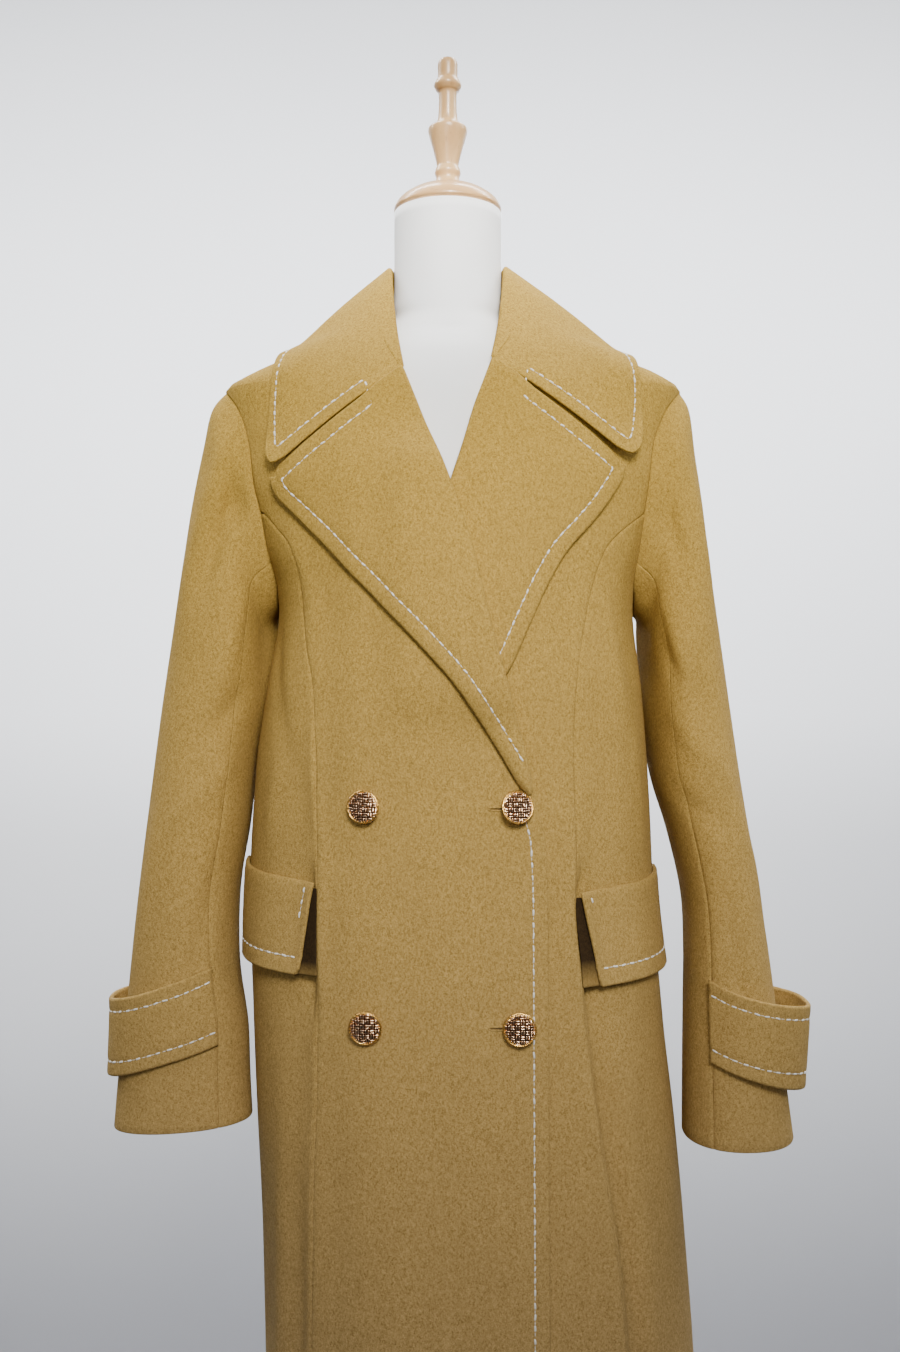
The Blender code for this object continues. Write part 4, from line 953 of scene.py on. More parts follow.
def finerRows(points, parts):
    # a smooth curve down each column of the grid
    padded = np.concatenate([2 * points[:1] - points[1:2], points, 2 * points[-1:] - points[-2:-1]])
    rows = []
    for i in range(len(points) - 1):
        a, b, c, d = padded[i:i + 4]
        for step in range(parts):
            t = step / parts
            rows.append(0.5 * (2 * b + (c - a) * t + (2 * a - 5 * b + 4 * c - d) * t * t
                               + (3 * b - a - 3 * c + d) * t ** 3))
    rows.append(points[-1])
    return np.array(rows)


def makeSleeve(side):
    sign = 1.0 if side == "left" else -1.0
    metric = sleeve["metric"]
    for part, start, end in (("Top", -sleeveBackTurn, sleeveFrontTurn),
                             ("Under", sleeveFrontTurn, 2 * math.pi - sleeveBackTurn)):
        width = (end - start) * metric
        middle = int(width / sleeve["columnStep"]) - 10
        shares = closeShares(np.array([width]), nearSeam, nearSeam, middle)[0]
        turns = start + (end - start) * shares
        points = finerRows(tableRings(side, turns), sleeve["rowParts"])
        normals = gridNormals(points, sign)
        ringTurns = (turns + math.pi) % (2 * math.pi) - math.pi
        bodyNormals = armholeRing(side, turns)[1]
        underArm = ramp(np.abs(ringTurns), math.radians(110), math.radians(170))[None, :, None]
        fade = ramp(np.arange(len(points)), 0, 8)[:, None, None]
        fromBody = (1 - underArm) * (1 - fade)
        normals = unit(bodyNormals[None] * fromBody + normals * (underArm + fade - underArm * fade))
        ends = [((math.radians(t0 + whole) * metric, z0), (math.radians(t1 + whole) * metric, z1), wide, height)
                for t0, z0, t1, z1, wide, height in sleeve[side + "Folds"] for whole in (0, 360)]
        lift = foldField(turns[None] * metric, points[..., 2], ends)
        lift = lift * ramp(np.arange(len(points)), 1, 9)[:, None]
        distance = (turns - start) * metric
        lower = 1 - 0.85 * ramp(points[..., 2], 0.93, 1.03)   # the seam only shows towards the cuff
        lift = lift + (dipLift(distance)[None] + dipLift(width - distance)[None]) * lower
        lift = lift + dipLift(edgeDistance(points, 0, False))
        points = points + lift[..., None] * normals
        for edge, beside in ((0, 3), (-1, -4)):
            inward = unit(points[:, beside] - points[:, edge])
            points[:, edge] += inward * sleeve["seamInset"]
        points[0] += unit(points[2] - points[0]) * coat["seamGap"]
        obj = clothShell("sleeve" + part + side.capitalize(), points, normals, coat["wall"], (0.1, 0.1, 0.9, 0.1))
        finishPiece(obj, wool, ("sleeve_" + part.lower() + "_" + side,))


for side in ("left", "right"):
    makeSleeve(side)
print("sleeves made")

# cuff straps
strap = {
    "thick": 0.0040, "inset": 0.0095, "flare": 0.7, "dent": 0.0006,
    "left": (0.803, 0.775, 0.785, 0.017, 0.062),   # seam z, outer z, back z, stand off, width
    "right": (0.8125, 0.781, 0.790, 0.0075, 0.060),
}


def sleeveAt(side, turn, z):
    sign = 1.0 if side == "left" else -1.0
    outerX, outerZ, innerX, innerZ, middleY, halfDepth = columns(sleeve[side])[:, ::-1]
    meanZ = (outerZ + innerZ) / 2

    def point(turnAt, zAt):
        swing = signedPower(np.cos(turnAt), sleeve["roundness"])
        reach = signedPower(np.sin(turnAt), sleeve["roundness"])
        outX, inX = smooth(zAt, meanZ, outerX), smooth(zAt, meanZ, innerX)
        x = (outX + inX) / 2 + (outX - inX) / 2 * swing
        y = smooth(zAt, meanZ, middleY) - smooth(zAt, meanZ, halfDepth) * reach
        return np.stack([x, y, np.broadcast_to(zAt, np.shape(x))], axis=-1)

    step = 1e-3
    around = point(turn + step, z) - point(turn - step, z)
    up = point(turn, z + step) - point(turn, z - step)
    return point(turn, z), unit(np.cross(up, around)) * sign


def makeStrap(side):
    seamZ, outerZ, backZ, standOff, width = strap[side]
    turns = np.linspace(sleeveFrontTurn - 0.03, 0.03 - sleeveBackTurn, 90)
    shares = np.linspace(0, 1, len(turns))
    middle = smooth(shares, np.array([0.0, 0.55, 1.0]), np.array([seamZ, outerZ, backZ]))
    ends = np.clip(np.minimum(shares, 1 - shares) / 0.42, 0, 1)
    away = 2 * coat["lieGap"] + standOff * ramp(ends, 0, 1)
    between = np.linspace(edgeReach, width - edgeReach, 12)[1:-1]
    down = np.concatenate([nearEdge, between, width - nearEdge[::-1]])
    rows, directions = [], []
    for across in width / 2 - down:
        points, normals = sleeveAt(side, turns, middle + across)
        lift = away * (1 + strap["flare"] * across / width) + strap["thick"]
        rows.append(points + lift[:, None] * normals)
        directions.append(normals)
    outer, normals = np.array(rows), np.array(directions)
    for line in (strap["inset"], width - strap["inset"]):
        outer = outer - (strap["dent"] * groove(down, line))[:, None, None] * normals
    obj = clothShell("cuffStrap" + side.capitalize(), outer, normals, strap["thick"], (0.9, 0.2, 0.9, 0.2))
    finishPiece(obj, wool, ("cuff_strap_" + side,))
    return outer, normals


straps = {side: makeStrap(side) for side in ("left", "right")}

# pocket flaps
flap = {
    "thick": 0.0034, "frontSlant": 0.011, "backRise": 0.006, "inset": 0.0125, "corner": 0.0045,
    "length": 0.10, "dent": 0.0006, "seamSink": 0.0006,
    "left": (0.913, 0.842, 0.0065),   # seam z, free edge z, stand off
    "right": (0.920, 0.850, 0.0065),
}


def makeFlap(side):
    topZ, freeZ, standOff = flap[side]
    sign = 1.0 if side == "left" else -1.0
    height, length = topZ - freeZ, flap["length"]
    depths = np.concatenate([np.linspace(0, 1 - edgeReach / height, 20)[:-1], 1 - nearEdge[::-1] / height])
    shares = np.concatenate([nearEdge / length, np.linspace(edgeReach / length, 1, 26)[1:]])
    s, d = np.meshgrid(shares, depths)
    flat = np.stack([s * length, d * height], axis=-1)
    flat = roundedCorner(flat, np.array([0.0, height]), (length, height), (0.0, 0.0), flap["corner"])
    s, d = flat[..., 0] / length, flat[..., 1] / height
    z = topZ + (freeZ - topZ) * d + flap["backRise"] * s * (1 - 0.6 * d)
    seamZ = topZ + (freeZ - topZ) * d
    front = frontAngle(onCurve(princessLine[side], seamZ) + sign * (0.0015 + flap["frontSlant"] * d), seamZ)
    rear = 0.02 if side == "left" else math.pi - 0.02
    angle = front + (rear - front) * s
    lift = 2 * coat["lieGap"] + standOff * d ** 1.3 * (1 - 0.6 * s) + flap["thick"]
    lift = lift - flap["seamSink"] * np.exp(-((d * height / 0.003) ** 2))
    normals = bodyNormal(angle, z, flatFolds)
    outer = body(angle, z, flatFolds) + lift[..., None] * normals
    outer = outer - (flap["dent"] * groove(edgeDistance(outer, 0), flap["inset"]))[..., None] * normals
    obj = clothShell("pocketFlap" + side.capitalize(), outer, normals, flap["thick"], (0.4, 0.2, 0.9, 0.9))
    finishPiece(obj, wool, ("pocket_flap_" + side,))
    return outer, normals


flaps = {side: makeFlap(side) for side in ("left", "right")}


def makePocketMouthShadow(side):
    # painted shadow for the pocket's mouth: a thin dark sheet from the princess fold to under the standing-off
    # front edge of its flap
    topZ, freeZ, standOff = flap[side]
    sign = 1.0 if side == "left" else -1.0
    d = np.linspace(0.05, 1, 40)
    z = topZ + (freeZ - topZ) * d
    seam = onCurve(princessLine[side], z)
    foldAngle = frontAngle(seam - sign * 0.0006, z)
    foldNormal = bodyNormal(frontAngle(seam - sign * 0.004, z), z)
    fold = body(foldAngle, z) + 0.0004 * foldNormal
    underAngle = frontAngle(seam + sign * (0.0040 + flap["frontSlant"] * d), z)
    underNormal = bodyNormal(underAngle, z, flatFolds)
    lift = 2 * coat["lieGap"] + standOff * d ** 1.3 - 0.0002
    under = body(underAngle, z, flatFolds) + lift[:, None] * underNormal
    s = np.linspace(0, 1, 12)[None, :, None]
    outer = fold[:, None] + (under - fold)[:, None] * s
    normals = unit(foldNormal[:, None] * (1 - s) + underNormal[:, None] * s)
    obj = clothShell("pocketMouthShadow" + side.capitalize(), outer, normals, 0.0004, (0.2, 0.2, 0.2, 0.2))
    finishPiece(obj, pocketShadowWool[side])


for side in ("left", "right"):
    makePocketMouthShadow(side)
print("straps and flaps made")

# hand-look running stitch
stitch = {
    "pitch": 0.0088, "dash": 0.0050, "radius": 0.00072, "thin": 0.00034, "raise": 0.0003, "uneven": 0.14,
    "turnSlack": 1.02,      # how far past a crossing line a row of stitches ends, in insets
    "lapelNotch": {"right": 0.0565, "left": 0.0555}, "collarNotch": {"right": 0.066, "left": 0.062},
    "frontTop": 0.9745, "frontInset": 0.0105, "flapInset": 0.0072, "flapMargin": 0.0015,
    "flapFront": {"left": 0.060, "right": 0.040},   # how far above the free edge the flap's front row ends
}


def crossing(field, value, points, normals, other, axis):
    # on each line of the grid along axis, the point where the field has this value
    if axis == 0:
        points, normals = points.transpose(1, 0, 2), normals.transpose(1, 0, 2)
        field, other = field.T, other.T
    found = []
    for line in range(len(field)):
        above = field[line] > value
        places = np.nonzero(above[:-1] != above[1:])[0]
        if not len(places):
            continue
        i = places[-1] if field[line][-1] < field[line][0] else places[0]
        t = (value - field[line][i]) / (field[line][i + 1] - field[line][i])
        found.append(np.concatenate([points[line][i] * (1 - t) + points[line][i + 1] * t,
                                     normals[line][i] * (1 - t) + normals[line][i + 1] * t,
                                     [other[line][i] * (1 - t) + other[line][i + 1] * t]]))
    return np.array(found)


def stitchRun(name, path, seed):
    points, normals = path[:, :3], unit(path[:, 3:6])
    steps = np.linalg.norm(np.diff(points, axis=0), axis=1)
    keep = np.concatenate([[True], steps > 1e-6])
    points, normals = points[keep], normals[keep]
    along = np.concatenate([[0], np.cumsum(np.linalg.norm(np.diff(points, axis=0), axis=1))])
    random = np.random.default_rng(seed)

    def at(places, table):
        return np.stack([np.interp(places, along, table[:, k]) for k in range(3)], axis=-1)

    verts, faces = [], []

    def strand(middle, length, radius, lift, sink, rings, sides, slant):
        u = np.linspace(-1, 1, rings)
        places = np.clip(middle + u * length / 2, 0, along[-1])
        centre, up = at(places, points), unit(at(places, normals))
        ahead, behind = np.minimum(places + 2e-4, along[-1]), np.maximum(places - 2e-4, 0)
        tangent = unit(at(ahead, points) - at(behind, points))
        aside = np.cross(tangent, up)
        centre = centre + up * (lift - sink * u ** 4)[:, None] + aside * (slant * u)[:, None]
        girth = radius * np.sqrt(np.clip(1 - 0.75 * u ** 4, 0.1, 1))
        base = len(verts)
        for ring in range(rings):
            for k in range(sides):
                turn = 2 * math.pi * k / sides
                spoke = up[ring] * math.sin(turn) * 0.85 + aside[ring] * math.cos(turn)
                verts.append(centre[ring] + girth[ring] * spoke)
        for ring in range(rings - 1):
            for k in range(sides):
                a, b = base + ring * sides + k, base + ring * sides + (k + 1) % sides
                faces.append((a, b, b + sides, a + sides))
        faces.append(tuple(base + k for k in range(sides))[::-1])
        faces.append(tuple(base + (rings - 1) * sides + k for k in range(sides)))

    count = int(along[-1] / stitch["pitch"])
    pitch = along[-1] / max(count, 1)
    for i in range(count):
        middle = (i + 0.5 + random.uniform(-0.08, 0.08)) * pitch
        length = stitch["dash"] * (1 + random.uniform(-1, 1) * stitch["uneven"])
        girth = stitch["radius"] * (1 + random.uniform(-1, 1) * stitch["uneven"])
        strand(middle, length, girth, stitch["raise"], 0.0009, 7, 7, random.uniform(-0.00035, 0.00035))
        if i < count - 1:
            strand(middle + pitch / 2, pitch - length + 0.001, stitch["thin"], 0.0, 0.0002, 3, 4, 0.0)
    finishPiece(meshPiece(name, np.array(verts), faces), thread)


def lapelPath(side):
    outer, normals = lapels[side]
    toEdge, toTop = edgeDistance(outer, 1), edgeDistance(outer, 0)
    inset = lapel["inset"]
    past = inset * stitch["turnSlack"]
    top = crossing(toTop, inset, outer, normals, toEdge, 0)
    top = top[(top[:, 6] > past) & (np.abs(top[:, 0]) > stitch["lapelNotch"][side])]
    edge = crossing(toEdge, inset, outer, normals, toTop, 1)
    return np.concatenate([top, edge[edge[:, 6] > past][::-1]])


def collarPath():
    outer, normals = collarGrid
    inset = collar["inset"]
    past = inset * stitch["turnSlack"]
    toLeaf = edgeDistance(outer, 0)
    toEnd = {"right": edgeDistance(outer, 1, False), "left": edgeDistance(outer, 1)}
    leafRows = slice(18, None)
    ends = {}
    for side, distance in toEnd.items():
        line = crossing(distance[leafRows], inset, outer[leafRows], normals[leafRows], toLeaf[leafRows], 1)
        ends[side] = line[(line[:, 6] > past) & (np.abs(line[:, 0]) > stitch["collarNotch"][side])]
    leaf = crossing(toLeaf, inset, outer, normals, np.minimum(toEnd["right"], toEnd["left"]), 0)
    return np.concatenate([ends["right"], leaf[leaf[:, 6] > past], ends["left"][::-1]])


collarLine = collarPath()
stitchRun("stitchCollar", collarLine, 3)
stitchRun("stitchLapelRight", np.concatenate([collarLine[:1], lapelPath("right")]), 4)
stitchRun("stitchLapelLeft", np.concatenate([collarLine[-1:], lapelPath("left")]), 5)
edgeHeights = np.linspace(stitch["frontTop"], coat["hemZ"] + 0.004, 220)
edgeLineX = onCurve(frontEdge["right"], edgeHeights) - stitch["frontInset"]
edgePoints, edgeNormals = frontPoint(edgeLineX, edgeHeights, outerFrontLift(edgeLineX, edgeHeights))
stitchRun("stitchFrontEdge", np.concatenate([edgePoints, edgeNormals], axis=1), 6)
for side in ("left", "right"):
    outer, normals = straps[side]
    down = edgeDistance(outer, 0, False)
    for i, value in enumerate((strap["inset"], strap[side][4] - strap["inset"])):
        line = crossing(down, value, outer, normals, down, 0)
        stitchRun("stitchStrap" + side.capitalize() + str(i + 1), line, 7 + i)
    outer, normals = flaps[side]
    toFree, toFront = edgeDistance(outer, 0), edgeDistance(outer, 1, False)
    free = crossing(toFree, flap["inset"], outer, normals, toFront, 0)
    stitchRun("stitchFlapFree" + side.capitalize(), free[free[:, 6] > stitch["flapMargin"]], 9)
    front = crossing(toFront, stitch["flapInset"], outer, normals, toFree, 1)
    stitchRun("stitchFlapFront" + side.capitalize(), front[front[:, 6] > stitch["flapFront"][side]], 10)
print("stitching made")


# buttons and buttonholes, modelled flat at the origin and then put in place
button = {
    "radius": 0.0125, "shank": 0.0035, "dome": 0.0024, "domeBase": 0.0026, "pitDrop": 0.0010,
    "dish": 0.93, "rim": 0.945, "weave": 0.90,      # shares of the radius
    "rimRadius": 0.00085, "shankRadius": 0.0022,
    "pads": 6, "strand": (0.94, 0.38), "strandBevel": 0.18, "strandShift": 0.25,    # shares of the pads' pitch
    "strandHeight": 0.0018, "strandSink": 0.0009,
    "places": (
        ("button_1", -0.0630, 0.9805, -4, 5), ("button_2", 0.0520, 0.9805, -12, -10),
        ("button_3", -0.0606, 0.8148, 6, -4), ("button_4", 0.0530, 0.8148, -3, 8),
    ),
}


def clearSelection():
    if bpy.context.mode != "OBJECT":
        bpy.ops.object.mode_set(mode="OBJECT")
    bpy.ops.object.select_all(action="DESELECT")


def pickOnly(obj):
    clearSelection()
    obj.select_set(True)
    bpy.context.view_layer.objects.active = obj


def applyPlace(obj):
    pickOnly(obj)
    bpy.ops.object.transform_apply(location=True, rotation=True, scale=True)
    return obj


def useMaterial(obj, material):
    obj.data.materials.clear()
    obj.data.materials.append(material)
    return obj


def smoothed(obj, degrees=40):
    pickOnly(obj)
    bpy.ops.object.shade_smooth_by_angle(angle=math.radians(degrees))
    return obj


def joined(parts, name):
    clearSelection()
    for part in parts:
        part.select_set(True)
    bpy.context.view_layer.objects.active = parts[0]
    bpy.ops.object.join()
    obj = bpy.context.view_layer.objects.active
    obj.name = name
    obj.data.name = name
    return obj


def bevelled(obj, width, segments=2):
    modifier = obj.modifiers.new("bevel", "BEVEL")
    modifier.width = width
    modifier.segments = segments
    pickOnly(obj)
    bpy.ops.object.modifier_apply(modifier=modifier.name)
    return obj


def domeHeight(x, y):
    reach = math.hypot(x, y) / button["radius"]
    return button["shank"] + button["domeBase"] + button["dome"] * (1 - reach * reach)


def makeFlatButton():
    radius, shankTop = button["radius"], button["shank"]
    clearSelection()
    bpy.ops.mesh.primitive_cylinder_add(vertices=48, radius=radius * button["dish"], depth=0.0020,
                                        location=(0, 0, shankTop + 0.0014))
    dish = useMaterial(smoothed(bevelled(applyPlace(bpy.context.object), 0.0006)), goldRim)
    # the pit under the weave, in near-black gold that paints the shade between the strands
    bpy.ops.mesh.primitive_uv_sphere_add(segments=40, ring_count=20, radius=radius * button["dish"],
                                         location=(0, 0, shankTop + 0.0018))
    pit = bpy.context.object
    pit.scale = (1, 1, (button["dome"] - button["pitDrop"]) / radius)
    useMaterial(smoothed(applyPlace(pit)), goldPitShadow)
    bpy.ops.mesh.primitive_torus_add(major_radius=radius * button["rim"], minor_radius=button["rimRadius"],
                                     major_segments=56, minor_segments=10, location=(0, 0, shankTop + 0.0022))
    rim = useMaterial(smoothed(applyPlace(bpy.context.object)), goldRim)
    bpy.ops.mesh.primitive_cylinder_add(vertices=20, radius=button["shankRadius"], depth=shankTop + 0.0012,
                                        location=(0, 0, (shankTop + 0.0012) / 2))
    shank = useMaterial(smoothed(applyPlace(bpy.context.object)), goldRim)
    parts = [dish, pit, rim, shank]
    pitch = 2 * radius * button["weave"] / button["pads"]
    bpy.ops.mesh.primitive_cube_add(size=1, location=(0, 0, 0))
    strandCube = bpy.context.object
    strandLong, strandWide = button["strand"]
    strandCube.scale = (pitch * strandLong, pitch * strandWide, button["strandHeight"])
    useMaterial(smoothed(bevelled(applyPlace(strandCube), pitch * button["strandBevel"], 4), 80), goldPad)
    half = button["pads"] // 2
    slope = -2 * button["dome"] / radius ** 2
    for column in range(-half, half):
        for row in range(-half, half):
            cx, cy = (column + 0.5) * pitch, (row + 0.5) * pitch
            if math.hypot(cx, cy) > radius * button["weave"]:
                continue
            lying = (column + row) % 2 == 0
            for shift in (-button["strandShift"], button["strandShift"]):
                px = cx if lying else cx + shift * pitch
                py = cy + shift * pitch if lying else cy
                strand = strandCube.copy()
                strand.data = strandCube.data.copy()
                bpy.context.scene.collection.objects.link(strand)
                turn = 0 if lying else math.pi / 2
                strand.rotation_euler = (math.atan(slope * py), -math.atan(slope * px), turn)
                strand.location = (px, py, domeHeight(px, py) - button["strandSink"])
                parts.append(applyPlace(strand))
    bpy.data.objects.remove(strandCube)
    return joined(parts, "flatButton")


def placeButton(flat, name, x, z, leanX, leanZ):
    seat, normal = frontPoint(np.array(x), np.array(z), outerFrontLift(x, z) + 0.0003)
    right = unit(np.cross([0.0, 0.0, 1.0], normal))
    up = np.cross(normal, right)
    obj = flat.copy()
    obj.data = flat.data.copy()
    obj.name = name
    bpy.context.scene.collection.objects.link(obj)
    leanX, leanZ = math.radians(leanX), math.radians(leanZ)
    points = np.array([v.co for v in obj.data.vertices])
    bend = np.clip(points[:, 2] / button["shank"], 0, 1)
    slide = points[:, 2] + bend * (points[:, 1] * math.sin(leanX) + points[:, 0] * math.sin(leanZ))
    placed = seat + points[:, :1] * right + points[:, 1:2] * up + slide[:, None] * normal
    obj.data.vertices.foreach_set("co", placed.astype(np.float32).ravel())
    obj.data.update()
    return obj


flatButton = makeFlatButton()
for i, (node, x, z, leanX, leanZ) in enumerate(button["places"]):
    placed = placeButton(flatButton, "button" + str(i + 1), x, z, leanX, leanZ)
    finishPiece(placed, None, (node,))
bpy.data.objects.remove(flatButton)
print("buttons made")

buttonhole = {"inner": 0.0310, "outer": 0.0560, "heights": (0.9790, 0.8150), "radius": 0.00085, "dark": 0.0007}


def makeButtonhole(name, z, radius, material, lift, spreadZ):
    # a slim loop of cloth lip, or the dark slit inside it, which is painted shadow
    turns = np.linspace(0, 2 * math.pi, 64, endpoint=False)
    inner, outer = buttonhole["inner"], buttonhole["outer"]
    middle, half = (inner + outer) / 2, (outer - inner) / 2
    x = middle + half * np.cos(turns)
    height = z + spreadZ * signedPower(np.sin(turns), 0.4)
    centre, normals = frontPoint(x, height, outerFrontLift(x, height) + lift)
    tangent = unit(np.roll(centre, -1, axis=0) - np.roll(centre, 1, axis=0))
    aside = np.cross(tangent, normals)
    verts, faces, sides = [], [], 8
    for k in range(sides):
        turn = 2 * math.pi * k / sides
        verts.append(centre + radius * (math.cos(turn) * aside + math.sin(turn) * normals))
    verts = np.array(verts).transpose(1, 0, 2).reshape(-1, 3)
    count = len(turns)
    for i in range(count):
        for k in range(sides):
            a, b = i * sides + k, i * sides + (k + 1) % sides
            c, d = ((i + 1) % count) * sides + (k + 1) % sides, ((i + 1) % count) * sides + k
            faces.append((a, b, c, d))
    finishPiece(meshPiece(name, verts, faces), material)


# each buttonhole has a lip of wool and, inside it, a thin dark tube painted as the shadow in the slit
for i, z in enumerate(buttonhole["heights"]):
    makeButtonhole("buttonholeLip" + str(i + 1), z, buttonhole["radius"], wool, -0.0001, 0.0013)
    makeButtonhole("buttonholeSlitShadow" + str(i + 1), z, buttonhole["dark"], slitShadowWool, -0.0003, 0.00035)
print("buttonholes made")

# dress form
form = {
    "bottomZ": 0.750, "neckAxisY": 0.012, "segments": 128, "hem": 0.012, "hemShare": 0.93,
    "seamZ": 1.3705, "seamDip": 0.0009, "neckSeamWidth": 0.0018, "centreSeamWidth": 0.0013,
    "gaps": (
        (0.750, 0.0200), (0.850, 0.0150), (1.000, 0.0090), (1.150, 0.0050), (1.260, 0.0025),
        (1.310, 0.0017), (1.350, 0.0014), (1.374, 0.0045),
    ),
    "neck": ((1.383, 0.0490), (1.396, 0.0475), (1.412, 0.0466), (1.440, 0.0463), (1.4805, 0.0463)),
    "cap": (  # radius, z
        (0.0000, 1.4812), (0.0440, 1.4812), (0.0463, 1.4830), (0.0460, 1.4860), (0.0420, 1.4920),
        (0.0320, 1.4990), (0.0200, 1.5040), (0.0000, 1.5055),
    ),
    "finial": (
        (0.0000, 1.5060), (0.0125, 1.5060), (0.0105, 1.5095), (0.0100, 1.5126), (0.0113, 1.5168),
        (0.0100, 1.5210), (0.0095, 1.5240), (0.0130, 1.5380), (0.0163, 1.5490), (0.0170, 1.5535),
        (0.0160, 1.5560), (0.0100, 1.5600), (0.0082, 1.5670), (0.0078, 1.5850), (0.0100, 1.5885),
        (0.0120, 1.5926), (0.0100, 1.5970), (0.0086, 1.6000), (0.0086, 1.6110), (0.0070, 1.6150),
        (0.0000, 1.6154),
    ),
    "poleRadius": 0.016,
    "base": (
        (0.0000, 0.0000), (0.1920, 0.0000), (0.1950, 0.0030), (0.1950, 0.0170), (0.1900, 0.0230),
        (0.1780, 0.0250), (0.0400, 0.0270), (0.0320, 0.0330), (0.0300, 0.0400), (0.0000, 0.0400),
    ),
}


def makeForm():
    segments = form["segments"]
    angles = np.linspace(-math.pi, math.pi, segments, endpoint=False)
    coarse = np.concatenate([np.linspace(form["bottomZ"], 1.13, 10), np.linspace(1.13, 1.30, 7)[1:],
                             np.linspace(1.30, coat["neckPointZ"], 8)[1:]])
    rings = []
    for z in coarse:
        at = np.full(segments, z)
        gap = onCurve(form["gaps"], z) + coat["wall"]
        points = body(angles, at, ()) - gap * bodyNormal(angles, at, ())
        points[:, 2] -= napeRise(angles, z)
        rings.append(points)
    for z, radius in form["neck"]:
        x = radius * np.cos(angles)
        y = form["neckAxisY"] - radius * np.sin(angles)
        rings.append(np.stack([x, y, np.full(segments, z)], axis=-1))
    rings = finerRows(np.array(rings), 5)
    x, z = rings[..., 0], rings[..., 2]
    neckDip = np.exp(-(((z - form["seamZ"]) / form["neckSeamWidth"]) ** 2))
    centreDip = 0.8 * np.exp(-((x / form["centreSeamWidth"]) ** 2)) * (z < form["seamZ"])
    rings = rings - (form["seamDip"] * (neckDip + centreDip))[..., None] * unit(rings * [1.0, 1.0, 0.0])
    bottom = rings[0]
    centre = bottom.mean(axis=0)
    hem = centre + (bottom - centre) * form["hemShare"]
    hem[:, 2] = form["bottomZ"] - form["hem"]
    rings = np.concatenate([hem[None], (bottom * 0.5 + hem * 0.5)[None], rings])
    rows = len(rings)
    index = np.arange(rows * segments).reshape(rows, segments)
    after = np.roll(index, -1, axis=1)
    quads = np.stack([index[:-1], after[:-1], after[1:], index[1:]], axis=-1).reshape(-1, 4).tolist()
    quads.append(index[0].tolist()[::-1])
    quads.append(index[-1].tolist())
    finishPiece(meshPiece("formTorso", rings.reshape(-1, 3), quads), jersey, ("form_torso",))


def turnedPiece(name, profile, centre, segments, material, roundOff):
    # a profile line drawn beside the axis and spun round it, as on a lathe
    clearSelection()
    bpy.ops.mesh.primitive_plane_add(size=0.001, location=(0, 0, 0))
    obj = bpy.context.object
    obj.name = name
    shape = bmesh.new()
    corners = [shape.verts.new((centre[0] + radius, centre[1], z)) for radius, z in profile]
    for first, second in zip(corners[:-1], corners[1:]):
        shape.edges.new((first, second))
    shape.to_mesh(obj.data)
    shape.free()
    bpy.context.view_layer.objects.active = obj
    bpy.ops.object.mode_set(mode="EDIT")
    bpy.ops.mesh.select_all(action="SELECT")
    bpy.ops.mesh.spin(steps=segments, angle=2 * math.pi, center=(centre[0], centre[1], 0), axis=(0, 0, 1))
    bpy.ops.mesh.select_all(action="SELECT")
    bpy.ops.mesh.remove_doubles(threshold=0.00002)
    bpy.ops.mesh.normals_make_consistent(inside=False)
    bpy.ops.object.mode_set(mode="OBJECT")
    if roundOff:
        bevelled(obj, roundOff, 3)
    smoothed(obj, 50)
    return useMaterial(obj, material)


def latheCurve(profile, parts):
    # rounds a turned profile between its named points, and keeps its two ends
    points = np.array(profile)
    inner = finerRows(points[1:-1], parts)
    return [tuple(points[0])] + [tuple(p) for p in inner] + [tuple(points[-1])]


makeForm()
neckAxis, poleAxis = (0.0, form["neckAxisY"]), (0.0, 0.0)
low, high = form["base"][-1][1] + 0.0003, form["bottomZ"] - form["hem"] - 0.0003
poleProfile = ((0.0, low), (form["poleRadius"], low), (form["poleRadius"], high), (0.0, high))
for name, node, profile, axis, segments, material, roundOff in (
        ("neckCap", "neck_cap", latheCurve(form["cap"], 4), neckAxis, 64, woodFlat, 0),
        ("finialTurned", "finial", latheCurve(form["finial"], 4), neckAxis, 48, woodUpright, 0),
        ("standPole", "pole", poleProfile, poleAxis, 48, woodUpright, 0.0008),
        ("standBase", "base", form["base"], poleAxis, 96, woodFlat, 0.0015)):
    finishPiece(turnedPiece(name, profile, axis, segments, material, roundOff), None, (node,))
print("dress form made")

# floor, backdrop, light and camera
room = {"wallY": 1.55, "bend": 0.75, "width": 7.0, "front": -3.2, "top": 3.6}


def makeRoom():
    angles = np.linspace(0, math.pi / 2, 24)
    bend, wallY = room["bend"], room["wallY"]
    curve = [(wallY - bend + bend * math.sin(a), bend - bend * math.cos(a)) for a in angles]
    profile = [(room["front"], 0.0), *curve, (wallY, room["top"])]
    verts = [(x, y, z) for y, z in profile for x in (-room["width"] / 2, room["width"] / 2)]
    faces = [(2 * i, 2 * i + 1, 2 * i + 3, 2 * i + 2) for i in range(len(profile) - 1)]
    mesh = bpy.data.meshes.new("backdrop")
    mesh.from_pydata(verts, [], faces)
    for polygon in mesh.polygons:
        polygon.use_smooth = True
    obj = bpy.data.objects.new("backdrop", mesh)
    bpy.context.scene.collection.objects.link(obj)
    obj.data.materials.append(makeWall())


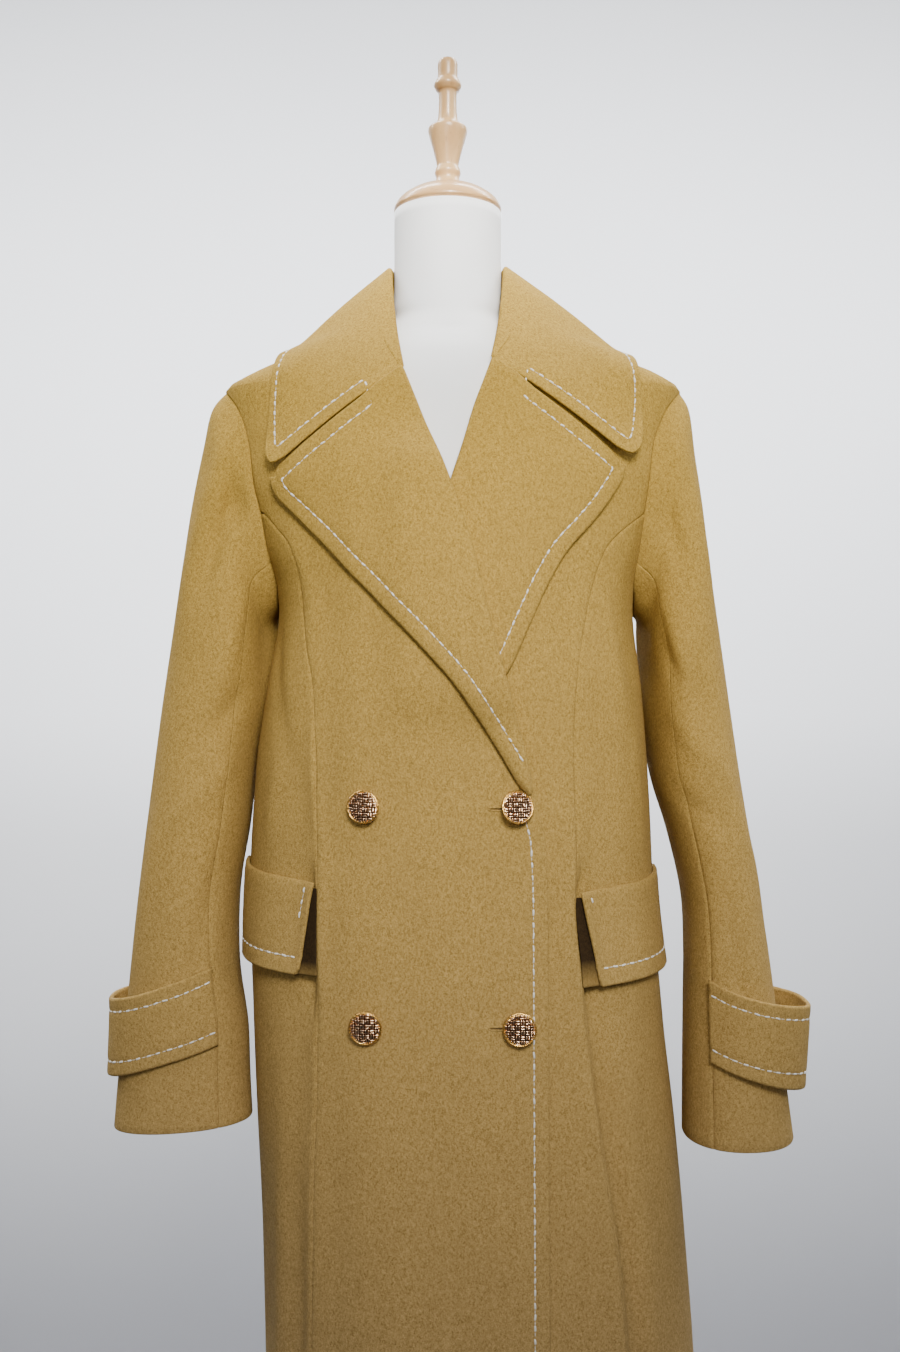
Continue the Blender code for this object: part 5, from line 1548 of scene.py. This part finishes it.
def addLight(name, kind, place, aim, power, colour):
    light = bpy.data.lights.new(name, kind)
    light.energy = power
    light.color = colour
    obj = bpy.data.objects.new(name, light)
    obj.location = place
    obj.rotation_euler = Vector(np.array(aim) - np.array(place)).to_track_quat("-Z", "Y").to_euler()
    bpy.context.scene.collection.objects.link(obj)
    return light


makeRoom()
# round lamps whose beams fade from their middles, so the hem is dimmer than the collar
for name, place, aim, spreadAngle, radius, power, colour in (
        ("keyLight", (0.30, -1.95, 2.15), (0.0, 0.0, 1.17), 37, 0.42, 325, (1.0, 0.985, 0.955)),
        ("neckLight", (0.15, -1.20, 2.20), (0.0, 0.0, 1.46), 9, 0.10, 230, (1.0, 0.99, 0.97))):
    light = addLight(name, "SPOT", place, aim, power, colour)
    light.spot_size = math.radians(spreadAngle)
    light.spot_blend = 1.0
    light.shadow_soft_size = radius
for name, place, aim, size, power, colour in (
        ("topLight", (-0.3, -0.9, 2.75), (0.0, 0.0, 1.3), (1.4, 0.7), 6, (1.0, 0.99, 0.97)),
        ("fillLight", (1.9, -1.3, 1.9), (0.0, 0.0, 1.2), (1.0, 1.0), 6, (0.97, 0.985, 1.0)),
        ("cameraGlow", (-0.25, -1.75, 1.35), (0.0, 0.0, 1.0), (0.16, 0.16), 4.0, (1.0, 0.98, 0.95)),
        ("wallLight", (0.0, 0.25, 2.05), (0.0, 1.55, 0.95), (3.4, 0.4), 128, (0.97, 0.985, 1.0))):
    light = addLight(name, "AREA", place, aim, power, colour)
    light.shape = "RECTANGLE"
    light.size, light.size_y = size
world = bpy.data.worlds.new("softRoom")
world.use_nodes = True
setInputs(world.node_tree.nodes["Background"], {"Color": (0.80, 0.83, 0.88, 1.0), "Strength": 0.15})
bpy.context.scene.world = world

camera = bpy.data.cameras.new("photoCamera")
camera.lens = 35
camera.sensor_width = 36
camera.clip_end = 60
cameraObject = bpy.data.objects.new("photoCamera", camera)
cameraObject.location = (0.002, -1.13, 1.08)
cameraObject.rotation_euler = (math.pi / 2, 0, 0)
bpy.context.scene.collection.objects.link(cameraObject)
bpy.context.scene.camera = cameraObject
print("room, light and camera set")
